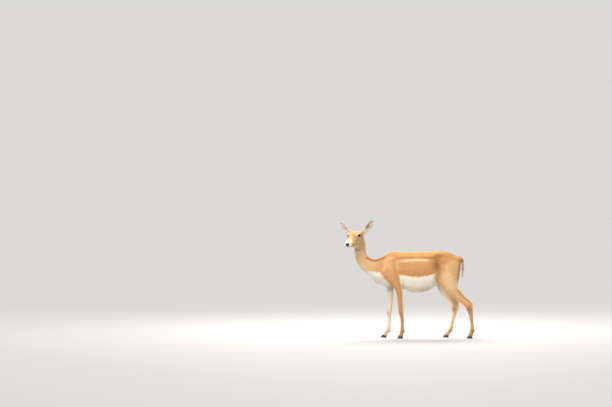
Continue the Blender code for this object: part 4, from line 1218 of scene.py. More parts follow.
def face_cuts(skin):
    """Cuts the eye sockets, the opening between the lids, the glands, the nostrils and the mouth."""
    sockets, openings, cuts = [], [], []
    for side in SIDES.values():
        at = eye_matrix(side)
        sockets.append(place(ball_mesh([EYE_RADIUS + EYE_CLEAR] * 3, at), "cut"))
        ahead = at @ Matrix.Translation((0, 0, EYE_RADIUS))
        openings.append(place(ball_mesh(LID_OPENING, ahead), "cut"))
        x, y, z = NOSTRIL_AT
        fx, fy, fz = NOSTRIL_FACES
        nostril = head_matrix() @ frame_matrix((fx, side * fy, fz), (0, 0, 1), (x, side * y, z))
        slant = Matrix.Rotation(side * NOSTRIL_SLANT, 4, "Z")
        cuts.append(place(ball_mesh(NOSTRIL, nostril @ slant, 32, 20), "cut"))
        cuts.append(place(ball_mesh(GLAND[::-1], gland_matrix(side), 28, 18), "cut"))
    boolean(skin, sockets, "DIFFERENCE")
    boolean(skin, openings, "DIFFERENCE")
    cuts.append(place(mouth_mesh(), "cut"))
    boolean(skin, cuts, "DIFFERENCE")


def mouth_mesh():
    """A thin tube along the line between the lips: at a share from one corner to the other it lies
    its length times a power of the share behind the front, on the skull's own width."""
    share = np.linspace(-1, 1, 61)
    back = MOUTH_FRONT - MOUTH_LENGTH * np.abs(share) ** MOUTH_ROUND
    height = MOUTH_HEIGHT - MOUTH_DROP * share**4
    width = (skull_width(back, height) + MOUTH_PROUD) * np.minimum(1.0, MOUTH_BLUNT * np.abs(share))
    middle = np.stack([back, np.sign(share) * width, height], axis=1)
    along = unit_rows(np.gradient(middle, axis=0))
    up = np.array([0.0, 0.0, 1.0])
    out = unit_rows(np.cross(along, up))
    over = np.cross(out, along)
    turn = angles(10)[None, :, None]
    taper = 1.25 * np.clip(1.2 - np.abs(share) ** 6, 0.2, 1)[:, None, None]
    rings = middle[:, None] + taper * (2.2 * np.cos(turn) * out[:, None] + np.sin(turn) * over[:, None])
    mesh = loft_mesh("mouth", rings)
    mesh.transform(head_matrix())
    return mesh


def coronet_height(x, heel, toe):
    """The height of the coronet above a place between the heel and the toe."""
    slope = np.clip((x - toe) / (heel - toe), 0, 1)
    return CORONET_FRONT + (CORONET_BACK - CORONET_FRONT) * slope


def coronet_box(foot):
    """A box whose top lies just under the coronet of a foot, where the hooves take over."""
    heel, toe, y = FEET[foot]
    tilt = math.atan2(CORONET_FRONT - CORONET_BACK, heel - toe)
    corners = np.array([(a, b, c) for a in (-1, 1) for b in (-1, 1) for c in (-1, 1)], float) * TRIM_HALF
    faces = [(0, 1, 3, 2), (4, 6, 7, 5), (0, 4, 5, 1), (2, 3, 7, 6), (0, 2, 6, 4), (1, 5, 7, 3)]
    mesh = mesh_of("cut", corners, faces)
    face_outwards(mesh)
    rim = Vector((toe, y, CORONET_FRONT - TRIM_TUCK))
    sunk = Matrix.Translation((0, 0, -TRIM_HALF))
    mesh.transform(Matrix.Translation(rim) @ Matrix.Rotation(tilt, 4, "Y") @ sunk)
    return place(mesh, "cut")


def thin_out(obj, keep, triangles):
    """Collapses short and flat edges until about this many triangles are left, last where the keep
    value of the vertices is high."""
    group = obj.vertex_groups.new(name="fine")
    levels = 8
    for level in range(1, levels + 1):
        chosen = np.nonzero(np.round(keep * levels) == level)[0]
        group.add(chosen.tolist(), level / levels, "REPLACE")
    obj.data.calc_loop_triangles()
    ratio = min(1.0, triangles / len(obj.data.loop_triangles))
    kept = {"vertex_group": "fine", "invert_vertex_group": True, "vertex_group_factor": 3.0}
    modified(obj, "DECIMATE", ratio=ratio, use_collapse_triangulate=True, **kept)
    obj.vertex_groups.clear()


def make_skin():
    """The whole skin, in the body's frame: fused, carved, laid inside the coat's outline, with ears
    and tail joined on, and the face cut."""
    skin = fused_flesh()
    carve(skin.data)
    points, normals = read_points(skin.data), read_normals(skin.data)
    write_points(skin.data, points - normals * coat_depth(points)[:, None])
    ears = []
    for word in SIDES:
        mesh = loft_mesh("ear", ear_rings(word))
        mesh.transform(head_matrix())
        ears.append(place(mesh, "ear"))
    rings = rings_of(TAIL, 60, 28)
    centre = rings.mean(1, keepdims=True)
    ears.append(place(loft_mesh("tail", centre + TAIL_CORE * (rings - centre)), "tail"))
    boolean(skin, ears, "UNION")
    joints = np.zeros(len(skin.data.vertices))
    points = read_points(skin.data)
    for word in SIDES:
        root, reach, _, _ = ear_frame(word)
        at = through(head_matrix(), np.array([root + reach * EAR_JOIN]))[0]
        joints = np.maximum(joints, bell(points, at, EAR_JOIN_SPREAD) ** 2)
    joints = np.maximum(joints, bell(points, TAIL_JOIN_AT, TAIL_JOIN_SPREAD) ** 2)
    blend_round(skin.data, joints, JOIN_ROUNDS)
    face_cuts(skin)
    boolean(skin, [coronet_box(foot) for foot in FEET], "DIFFERENCE")
    points = read_points(skin.data)
    fine = soft(in_head(points)[:, 0], -10, 60) * head_share(points)
    keep = np.clip(0.35 * head_share(points) + 0.65 * fine + ear_fields(points)[0], 0, 1)
    thin_out(skin, keep, bpy.context.scene.doe_sizes.skin_triangles)
    return skin


def maths(operation, turned=False):
    """An operator that adds a Math node, its sides turned round for the reflected form."""

    def joined(self, other):
        sides = (other, self) if turned else (self, other)
        return self.shader.node("ShaderNodeMath", {"operation": operation}, *sides)

    return joined


class Wire:
    """An output of a shader node. Arithmetic on it adds Math nodes to its tree."""

    __add__, __radd__ = maths("ADD"), maths("ADD", True)
    __sub__, __rsub__ = maths("SUBTRACT"), maths("SUBTRACT", True)
    __mul__, __rmul__ = maths("MULTIPLY"), maths("MULTIPLY", True)
    __pow__ = maths("POWER")

    def __init__(self, shader, socket):
        self.shader = shader
        self.socket = socket


class Shader:
    """A material's node tree, with one method that adds any node."""

    def __init__(self, name, **constants):
        self.material = bpy.data.materials.new(name)
        self.material.use_nodes = True
        self.tree = self.material.node_tree
        self.surface = self.tree.nodes["Principled BSDF"]
        for socket, value in constants.items():
            self.surface.inputs[socket.replace("_", " ")].default_value = value

    def put(self, socket, value):
        """Links a wire to a socket, or sets the socket to a plain value."""
        if isinstance(value, Wire):
            self.tree.links.new(value.socket, socket)
        else:
            socket.default_value = value

    def node(self, kind, settings, *values, output=0, **named):
        """Adds a node: its settings first, then its inputs in order, where None leaves one as it is,
        then those given by name."""
        made = self.tree.nodes.new(kind)
        for key, value in settings.items():
            setattr(made, key, value)
        for socket, value in zip(made.inputs, values):
            if value is not None:
                self.put(socket, value)
        for key, value in named.items():
            self.put(made.inputs[key.replace("_", " ")], value)
        return Wire(self, made.outputs[output])

    def attribute(self, name, output="Color"):
        return self.node("ShaderNodeAttribute", {"attribute_name": name}, output=output)

    def place_on_object(self, turn=(0, 0, 0), scale=(1, 1, 1)):
        """Object coordinates through a Mapping node."""
        spot = self.node("ShaderNodeTexCoord", {}, output="Object")
        return self.node("ShaderNodeMapping", {}, spot, Rotation=turn, Scale=scale)

    def noise(self, spot, scale, detail=3.0, rough=0.55):
        return self.node(
            "ShaderNodeTexNoise", {}, output="Fac", Vector=spot, Scale=scale, Detail=detail, Roughness=rough
        )

    def blend(self, share, first, second, how="MIX"):
        """A colour mixed from two by a share. The five inputs between are for numbers and vectors."""
        settings, between = {"data_type": "RGBA", "blend_type": how}, [None] * 5
        return self.node("ShaderNodeMix", settings, share, *between, first, second, output=2)

    def step(self, value, low, high):
        """A smooth step from 0 at low to 1 at high."""
        settings = {"interpolation_type": "SMOOTHSTEP"}
        return self.node("ShaderNodeMapRange", settings, value, low, high, 0.0, 1.0)

    def grey(self, value):
        return self.node("ShaderNodeCombineColor", {}, value, value, value)

    def finish(self, bump=None, strength=0.3, distance=0.001, **links):
        """Links the surface's inputs, and a height to its normal through a Bump node."""
        for socket, wire in links.items():
            self.put(self.surface.inputs[socket.replace("_", " ")], wire)
        if bump is not None:
            normal = self.node("ShaderNodeBump", {}, Strength=strength, Distance=distance, Height=bump)
            self.put(self.surface.inputs["Normal"], normal)
        return self.material


def colour(value):
    return (*value, 1.0)


def skin_material():
    """Skin under short hair: the markings, streaked along the lie of the hair, with a fine combed
    bump. The bare skin of nose and lips is pebbled and moist."""
    made = Shader("short_coat_skin", Sheen_Weight=0.12, Sheen_Roughness=0.5, Specular_IOR_Level=0.3)
    flat = made.place_on_object(turn=(0, -0.36, 0), scale=(0.13, 1, 1))
    tall = made.place_on_object(scale=(1, 1, 0.12))
    on_leg = made.attribute("Upright", "Fac")
    bare = made.attribute("Bare", "Fac")
    combed = mixed(made.noise(flat, 900), made.noise(tall, 1100), on_leg)
    clumps = mixed(made.noise(flat, 190), made.noise(tall, 260), on_leg)
    pebbles = made.node(
        "ShaderNodeTexVoronoi", {"feature": "F1"}, output="Distance",
        Vector=made.place_on_object(), Scale=900.0,
    )
    tone = made.attribute("Markings")
    shade = made.grey(0.62 + 0.42 * combed + 0.26 * clumps)
    tone = made.blend(1 - bare, tone, made.blend(1.0, tone, shade, "MULTIPLY"))
    height = mixed(combed * 0.7 + clumps * 0.6, pebbles * 0.8, bare)
    rough = mixed(0.68 + 0.2 * clumps, 0.30 + 0.1 * pebbles, bare)
    return made.finish(bump=height, strength=0.55, distance=0.0012, Base_Color=tone, Roughness=rough)


def tuft_material():
    """Hair: each tuft's own colour, a little darker at its root as painted shade, with a soft gloss. Made
    once.
    """
    if "hair_tufts" in bpy.data.materials:
        return bpy.data.materials["hair_tufts"]
    made = Shader("hair_tufts", Sheen_Weight=0.10, Sheen_Roughness=0.4, Specular_IOR_Level=0.35)
    grain = made.noise(made.place_on_object(), 420.0, 2.0)
    tone = made.attribute("Markings")
    tone = made.blend(1.0, tone, made.grey(0.90 + 0.20 * grain), "MULTIPLY")
    return made.finish(Base_Color=tone, Roughness=0.50 + 0.16 * grain)


def ride(obj):
    """Ties a finished piece to the frame."""
    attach(obj, "root")
    return obj


def finished(mesh, material):
    """A smooth piece from a mesh in its material, tied to the frame."""
    mesh.shade_smooth()
    mesh.materials.append(material)
    return ride(place(mesh, mesh.name))


class DOE_OT_skin(bpy.types.Operator):
    """Build the one skin that replaces every node of flesh"""

    bl_idname = "doe.skin"
    bl_label = "Skin"

    def execute(self, context):
        skin = make_skin()
        mesh = skin.data
        mesh.shade_smooth()
        points, normals = read_points(mesh), read_normals(mesh)
        write_colours(mesh, "Markings", markings(points, normals))
        write_values(mesh, "Bare", bare_share(points))
        write_values(mesh, "Upright", own_height(points))
        write_points(mesh, to_world(points))
        mesh.name = "skin"
        mesh.materials.clear()
        mesh.materials.append(skin_material())
        flesh = [name for name in frame["nodes"] if not name.startswith(("eye", "hoof", "dewclaw"))]
        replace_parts(ride(skin), *flesh)
        return {"FINISHED"}


def landed(points, skin, lift=0.0):
    """Points moved to the nearest place on the skin, or to a height above it, by a Shrinkwrap
    modifier on loose vertices."""
    mesh = bpy.data.meshes.new("probe")
    mesh.vertices.add(len(points))
    write_points(mesh, points)
    above = {"wrap_mode": "ABOVE_SURFACE", "offset": lift} if lift else {}
    nearest = {"target": skin, "wrap_method": "NEAREST_SURFACEPOINT"}
    probe = modified(place(mesh, "probe"), "SHRINKWRAP", **nearest, **above)
    found = read_points(probe.data)
    bpy.data.objects.remove(probe)
    return found


def surface_of(mesh):
    """The triangles of a mesh: their corners, area and mean place, and the vertices' normals."""
    mesh.calc_loop_triangles()
    corners = np.empty(len(mesh.loop_triangles) * 3, np.int32)
    mesh.loop_triangles.foreach_get("vertices", corners)
    corners = corners.reshape(-1, 3)
    points, normals = read_points(mesh), read_normals(mesh)
    a, b, c = (points[corners[:, k]] for k in range(3))
    area = np.linalg.norm(np.cross(b - a, c - a), axis=1) / 2
    return corners, area, (a + b + c) / 3, points, normals


def scattered(surface, weight, count, draw):
    """Roots spread over a surface: even steps through the summed, weighted area, each jittered, and
    a random place within its triangle. Gives places and normals."""
    corners, area, _, points, normals = surface
    total = np.cumsum(area * weight)
    steps = (np.arange(count) + draw.random(count)) / count * total[-1]
    face = np.clip(np.searchsorted(total, steps), 0, len(area) - 1)
    u, v = np.sqrt(draw.random(count)), draw.random(count)
    shares = np.stack([1 - u, u * (1 - v), u * v], axis=1)[..., None]
    at = (points[corners[face]] * shares).sum(1)
    return at, unit_rows((normals[corners[face]] * shares).sum(1))


def lie_of_hair(points, normals):
    """The way that hair lies at every point, along the surface: from head to tail and a little
    down on the neck and trunk, down the legs, back from the muzzle on the head, and out to the tip
    on the ears and tail."""
    way = spine_place(points)[0]
    flow = spine_lie(way)
    flow[:, 2] -= 0.42 * fade(np.abs(normals[:, 2]), 0.5, 0.95) * fade(way, 0.66, 0.8)
    behind = (soft(normals[:, 0], 0.35, 0.75) * soft(points[:, 0], 250, 300))[:, None]
    flow = mixed(flow, np.array([0.0, 0.0, -1.0]), behind)
    breast = (soft(-normals[:, 0], 0.40, 0.75) * fade(points[:, 0], -340, -300))[:, None]
    flow = mixed(flow, np.array([0.15, 0.0, -1.0]), breast)
    thigh = (soft(points[:, 0], 120, 200) * soft(-points[:, 2], -640, -480))[:, None]
    flow = flow * (1 - 0.8 * thigh) + np.array([0.25, 0.0, -1.0]) * 0.8 * thigh
    flow = mixed(flow, leg_lie(points), own_height(points)[:, None])
    turn = np.array(head_matrix())[:3, :3]
    spots = in_head(points)
    outward = np.stack([-np.ones(len(points)), 0.010 * spots[:, 1], 0.012 * (spots[:, 2] + 10)], axis=1)
    flow = mixed(flow, outward @ turn.T, head_share(points)[:, None])
    ear, _, _, _, along = ear_fields(points)
    flow = mixed(flow, along, ear[:, None])
    flow = mixed(flow, np.array([0.05, 0.0, -1.0]), tail_share(points)[:, None])
    flow = flow - normals * (flow * normals).sum(1, keepdims=True)
    return unit_rows(flow)


def turn_share(y, x):
    """The angle of a place round an axis, as a share of a whole turn."""
    return np.arctan2(y, x) / (2 * math.pi) + 0.5


def atlas_place(points):
    """A place in a unit square for every root, from an unwrap of the skin's own shape: each part
    has its own tile, read along the part and round it."""
    x, y, z = points.T
    way = spine_place(points)[0]
    centre = middles_of(resample(TRUNK, SPINE_SECTIONS))[spine_index(way)]
    run = spine_lie(way)
    over = (x - centre[:, 0]) * -run[:, 2] + (z - centre[:, 1]) * run[:, 0]
    u = 0.01 + 0.60 * way
    v = 0.02 + 0.44 * turn_share(y, over)
    spots = in_head(points)
    on_head = head_share(points) > 0.5
    u = np.where(on_head, 0.64 + 0.34 * np.clip((spots[:, 0] + 30) / 270, 0, 1), u)
    v = np.where(on_head, 0.02 + 0.44 * turn_share(spots[:, 1], spots[:, 2] + 16), v)
    for k, (rows, side) in enumerate(LEGS):
        share, outside, centre_y = leg_place(points, rows)
        on = (z < 430) & (np.sign(y) == side) & (outside < 30) & ((x < -100) == (k < 2))
        turn = turn_share(y - side * centre_y, 40 * (share - 0.5))
        u = np.where(on, 0.01 + 0.20 * k + 0.18 * turn, u)
        v = np.where(on, 0.50 + 0.46 * z / 430, v)
    sure, share, across, _, _ = ear_fields(points)
    ear_y = np.where(spots[:, 1] > 0, 0.50, 0.74)
    u = np.where(sure > 0.5, 0.84 + 0.06 * np.clip(across, -1.2, 1.2) + 0.07, u)
    v = np.where(sure > 0.5, ear_y + 0.22 * np.clip(share, 0, 1), v)
    tail = tail_share(points) > 0.5
    u = np.where(tail, 0.82 + 0.001 * (y + 20), u)
    v = np.where(tail, 0.50 + 0.4 * np.clip((z - 500) / 200, 0, 1), v)
    return np.stack([np.clip(u, 0.002, 0.994), np.clip(v, 0.002, 0.994)], axis=1)


def tuft_mesh(name, stations, across, over, width, thick, tone, roots):
    """Tufts as closed tapered blades. Stations is tufts by places along each by three numbers. At
    each station but the last stand two edge points at plus and minus the width and one ridge point
    at the thickness, and the last station is the tip. The colour runs from root to tip, darker at
    the root as painted shade."""
    count, length, _ = stations.shape
    levels = np.arange(length - 1) / (length - 1)
    shape = (0.55 + 0.45 * np.sin(math.pi * np.clip(levels * 1.25 + 0.18, 0, 1)))[None, :, None]
    half = width[:, None, None] / 2 * shape * across
    ridge = thick[:, None, None] * shape * over
    body = stations[:, :-1]
    points = np.stack([body - half, body + half, body + ridge], axis=2).reshape(count, -1, 3)
    points = np.concatenate([points, stations[:, -1:]], axis=1)
    each = points.shape[1]
    sides = []
    for level in range(length - 2):
        low, high = 3 * level, 3 * (level + 1)
        for a, b in ((0, 1), (1, 2), (2, 0)):
            sides.append((low + a, low + b, high + b))
            sides.append((low + a, high + b, high + a))
    last = 3 * (length - 2)
    for a, b in ((0, 1), (1, 2), (2, 0)):
        sides.append((last + a, last + b, each - 1))
    sides.append((0, 2, 1))
    pattern = np.array(sides)
    faces = (np.arange(count)[:, None, None] * each + pattern).reshape(-1, 3)
    mesh = bpy.data.meshes.new(name)
    mesh.vertices.add(count * each)
    mesh.loops.add(len(faces) * 3)
    mesh.polygons.add(len(faces))
    mesh.loops.foreach_set("vertex_index", faces.astype(np.int32).ravel())
    mesh.polygons.foreach_set("loop_start", np.arange(0, len(faces) * 3, 3, dtype=np.int32))
    mesh.update()
    write_points(mesh, to_world(points.reshape(-1, 3)))
    shade = np.concatenate([np.repeat(levels, 3), [1.0]])
    # Painted shade: each tuft darkened towards its root
    tones = tone[:, None, :] * (TUFT_ROOT_SHADE + TUFT_TIP_GAIN * shade)[None, :, None]
    write_colours(mesh, "Markings", tones.reshape(-1, 3))
    corner = np.concatenate([np.tile([0.0, 1.0, 0.5], length - 1), [0.5]])
    local = np.stack([corner, shade], axis=1) * 0.003
    place_in = (atlas_place(roots)[:, None, :] + local[None]).reshape(-1, 2)
    layer = mesh.uv_layers.new(name="OFBake")
    layer.uv.foreach_set("vector", place_in[faces.ravel()].astype(np.float32).ravel())
    mesh.validate()
    return mesh


def laid_tufts(
    name, skin, roots, normals, length, width, lift, tone, draw, stations=3, stray=TUFT_STRAY, hang=0.0
):
    """Tufts that start just under the skin at their roots and follow its surface along the lie of
    the hair, rising to their lift at the tip, and hanging below it by the square of the share of
    their length. Sizes are in millimetres, one for each tuft."""
    steps = stations - 1
    at, up = roots, normals
    way = lie_of_hair(to_body(at), up)
    turn = (stray * draw.normal(size=len(roots)))[:, None]
    places = [to_body(at) - TUFT_ROOT * up]
    across = [unit_rows(np.cross(way, up))]
    overs = [up]
    for step in range(1, steps + 1):
        side = np.cross(way, up)
        run = unit_rows(way * np.cos(turn) + side * np.sin(turn))
        ahead = at + run * (length[:, None] * MM / steps)
        at = landed(ahead, skin)
        up = unit_rows(landed(at, skin, 0.001) - at)
        share = step / steps
        fall = np.multiply.outer(np.broadcast_to(hang, len(roots)) * share**2, [0.0, 0.0, -1.0])
        places.append(to_body(at) + up * (lift * share)[:, None] + fall)
        way = lie_of_hair(to_body(at), up)
        across.append(unit_rows(np.cross(run, up)))
        overs.append(up)
    path = np.stack(places, axis=1)
    across = np.stack(across[:-1], axis=1)
    overs = np.stack(overs[:-1], axis=1)
    mesh = tuft_mesh(name, path, across, overs, width, TUFT_THICKNESS * width, tone, to_body(roots))
    return finished(mesh, tuft_material())


def hair_sizes(points):
    """Length, width and lift of a tuft in millimetres at every point: short on the face, ears and
    feet, longer on the chest, belly, buttocks and the back of the legs."""
    sizes = bpy.context.scene.doe_sizes
    z = points[:, 2]
    long_hair = bell(points, (-370, 0, 490), (60, 60, 60)) + 0.5 * bell(points, (330, 30, 500), (30, 40, 70))
    scale = 1 + 0.6 * np.clip(long_hair, 0, 1)
    scale = scale * (1 - 0.22 * soft(spine_place(points)[0], 0.64, 0.78))
    scale = scale * (1 - own_height(points) * np.interp(z, (0, 120, 300, 500), (0.62, 0.58, 0.42, 0.1)))
    face = np.interp(in_head(points)[:, 0], (-20, 60, 150, 225), (0.62, 0.46, 0.36, 0.22))
    scale = mixed(mixed(scale, face, head_share(points)), 0.40, ear_fields(points)[0])
    length = sizes.tuft_length / MM * scale
    width = sizes.tuft_width / MM * (0.35 + 0.65 * scale)
    lift = np.minimum(0.60 * coat_depth(points) + 0.10, 0.078 * length)
    return length, width, lift


def haired(points):
    """1 where tufts grow, and 0 on bare skin, inside the lids and under the coronets."""
    keep = fade(bare_share(points), 0.25, 0.6)
    spots = in_head(points)
    for sign in SIDES.values():
        at, around = by_eye(sign, points)
        keep = keep * np.where((around < 1.16) & (at[:, 2] > -2), 0.0, 1.0)
        keep = keep * (np.linalg.norm(at, axis=1) > EYE_RADIUS + 0.6)
        keep = keep * (1 - bell(spots, (224, sign * 12, -16), (6, 6, 5)) > 0.4)
        gland = through(gland_matrix(sign).inverted(), points)
        keep = keep * (np.hypot(gland[:, 0] / 7.5, gland[:, 1] / 2.6) + 0.1 * np.abs(gland[:, 2]) > 1)
    for heel, toe, y in FEET.values():
        near = (np.abs(points[:, 1] - y) < 30) & (points[:, 0] > toe - 20) & (points[:, 0] < heel + 30)
        rim = coronet_height(points[:, 0], heel, toe)
        keep = keep * np.where(near & (points[:, 2] < rim + 0.4), 0.0, 1.0)
    return keep


# The pieces of the coat, each with a test of the roots that the pieces before it leave
COAT_PARTS = {
    "coat_face": lambda p: (head_share(p) > 0.5) & (in_head(p)[:, 0] > 78),
    "coat_head": lambda p: head_share(p) > 0.5,
    "coat_neck": lambda p: spine_place(p)[0] > 0.64,
    "coat_forelegs": lambda p: (p[:, 2] < 400) & (p[:, 0] < -60),
    "coat_hindlegs": lambda p: (p[:, 2] < 400) & (p[:, 0] > 60) & (np.abs(p[:, 1]) > 20),
    "coat_shoulders": lambda p: p[:, 0] < -150,
    "coat_barrel": lambda p: p[:, 0] < 120,
    "coat_haunches": lambda p: p[:, 0] >= 120,
}


class DOE_OT_coat(bpy.types.Operator):
    """Lay the short coat over the skin in tufts that follow the lie of the hair"""

    bl_idname = "doe.coat"
    bl_label = "Short coat"

    def execute(self, context):
        skin = bpy.data.objects["skin"]
        draw = np.random.default_rng(SEED)
        surface = surface_of(skin.data)
        middles = to_body(surface[2])
        length, width, _ = hair_sizes(middles)
        weight = haired(middles) / (length * width) ** 0.8
        roots, normals = scattered(surface, weight, context.scene.doe_sizes.tufts, draw)
        spots = to_body(roots)
        length, width, lift = hair_sizes(spots)
        vary = draw.uniform(0.75, 1.25, len(roots))
        lift = lift * draw.uniform(0.45, 1.0, len(roots))
        tone = markings(spots, normals) * draw.normal(1.0, 0.055, (len(roots), 1)).clip(0.8, 1.2)
        free = np.ones(len(roots), bool)
        for name, test in COAT_PARTS.items():
            mine = free & test(spots)
            free &= ~mine
            laid_tufts(
                name, skin, roots[mine], normals[mine], (length * vary)[mine], (width * vary)[mine],
                lift[mine], tone[mine], draw,
            )
        return {"FINISHED"}


class DOE_OT_long_hair(bpy.types.Operator):
    """Hang the longer hair of the tail, chest, knees and ears"""

    bl_idname = "doe.long_hair"
    bl_label = "Longer hair"

    def execute(self, context):
        skin = bpy.data.objects["skin"]
        draw = np.random.default_rng(SEED + 1)
        surface = surface_of(skin.data)
        middles = to_body(surface[2])
        knees = sum(bell(middles, (x, y, 206), (9, 14, 16)) for x, y in ((-270, 62), (-176, -62)))
        # Where each kind grows, how many tufts, their length, width and rise, and their stations
        kinds = {
            "tail_hair": (tail_share(middles) * soft(middles[:, 2], 520, 556), 3800, 34, 2.5, 3.2, 5),
            "chest_hair": (bell(middles, (-372, 0, 482), (46, 40, 46)), 900, 20, 1.4, 2.2, 4),
            "knee_hair": (knees, 420, 11, 1.2, 2.2, 3),
            "ear_hair": (ear_lining(middles), 900, 11, 0.7, 2.2, 4),
        }
        for name, (weight, count, long, wide, rise, stations) in kinds.items():
            roots, normals = scattered(surface, weight, count, draw)
            spots = to_body(roots)
            vary = draw.uniform(0.7, 1.15, count)
            tone = markings(spots, normals) * draw.normal(1.0, 0.08, (count, 1)).clip(0.8, 1.2)
            hang = TAIL_HANG * fade(spots[:, 2], *TAIL_HANG_HEIGHTS) * (name == "tail_hair")
            laid_tufts(
                name, skin, roots, normals, long * vary, wide * vary, rise * draw.uniform(0.3, 1, count),
                tone, draw, stations, LONG_STRAY, hang,
            )
        return {"FINISHED"}


def ear_lining(points):
    """Where long pale hairs grow inside the ears: the cup, beside its dark patch, and the rim."""
    sure, share, across, _, _ = ear_fields(points)
    rim = hump(np.abs(across), 0.8, 0.2)
    return soft(sure, 0.6, 0.9) * rim * soft(share, 0.3, 0.4) * fade(share, 0.8, 0.95)


def lid_rim(sign, count):
    """Places round the edge of the opening between the lids, in the eye's frame: at each angle the
    radius where the opening's ball meets a ball just outside the eye, found by halving."""
    angle = angles(count)
    reach = EYE_RADIUS + LID_PROUD
    a, b, c = LID_OPENING
    low, high = np.zeros(count), np.full(count, reach * 0.999)
    for _ in range(40):
        middle = (low + high) / 2
        ahead = np.sqrt(reach**2 - middle**2) - EYE_RADIUS
        value = middle**2 * ((np.cos(angle) / a) ** 2 + (np.sin(angle) / b) ** 2) + (ahead / c) ** 2 - 1
        low, high = np.where(value < 0, middle, low), np.where(value < 0, high, middle)
    radius = (low + high) / 2
    nose_end = math.pi if sign > 0 else 0
    corner = np.exp(-(((angle - nose_end + math.pi) % (2 * math.pi) - math.pi) / 0.22) ** 2)
    radius = radius * (1 + 0.10 * corner)
    ahead = np.sqrt(np.maximum(reach**2 - radius**2, 9.0))
    return angle, np.stack([radius * np.cos(angle), radius * np.sin(angle), ahead], axis=1)


def ring_mesh(name, path, ways, overs, wide, deep, around=14):
    """A closed tube carried round a closed path: at each place, an oval of the given half widths
    along two ways."""
    turn = angles(around)[None, :, None]
    points = path[:, None] + wide[:, None, None] * np.cos(turn) * ways[:, None]
    points = points + deep[:, None, None] * np.sin(turn) * overs[:, None]
    mesh = mesh_of(name, points, grid_faces(len(path), around, closed=True).tolist())
    face_outwards(mesh)
    return mesh


def rim_material():
    """Bare dark skin of the lid rims, finely wrinkled and moist."""
    look = bpy.context.scene.doe_colours
    made = Shader("lid_rims", Specular_IOR_Level=0.5)
    wrinkle = made.noise(made.place_on_object(), 1500.0, 3.0)
    tone = made.blend(wrinkle, colour(look.nose), colour(Vector(look.nose) * 1.9))
    rough = 0.28 + 0.2 * wrinkle
    return made.finish(bump=wrinkle, strength=0.4, distance=0.0003, Base_Color=tone, Roughness=rough)


def eye_material():
    """A dark eye: a wide level pupil, a brown iris rayed from it, a black ring at its edge and
    dark conjunctiva beyond, under a wet gloss."""
    look = bpy.context.scene.doe_colours
    made = Shader("wet_eye", Roughness=0.05, Specular_IOR_Level=0.36, IOR=1.38)
    spot = made.attribute("EyePlace", "Vector")
    x, y = (made.node("ShaderNodeSeparateXYZ", {}, spot, output=axis) for axis in ("X", "Y"))
    far = (x * x + y * y) ** 0.5
    pupil = made.step(x * x * 3.4 + y * y * 16.0, 1.0, 0.72)
    rays = made.noise(made.node("ShaderNodeMapping", {}, spot, Scale=(9, 9, 1)), 6.0, 4.0)
    iris = made.blend(rays, colour(look.iris), colour(Vector(look.iris) * 2.0))
    tone = made.blend(made.step(far, 0.66, 0.76), iris, (0.006, 0.004, 0.003, 1))
    tone = made.blend(made.step(far, 0.84, 0.95), tone, (0.022, 0.013, 0.010, 1))
    tone = made.blend(pupil, tone, (0.002, 0.002, 0.003, 1))
    return made.finish(Base_Color=tone)


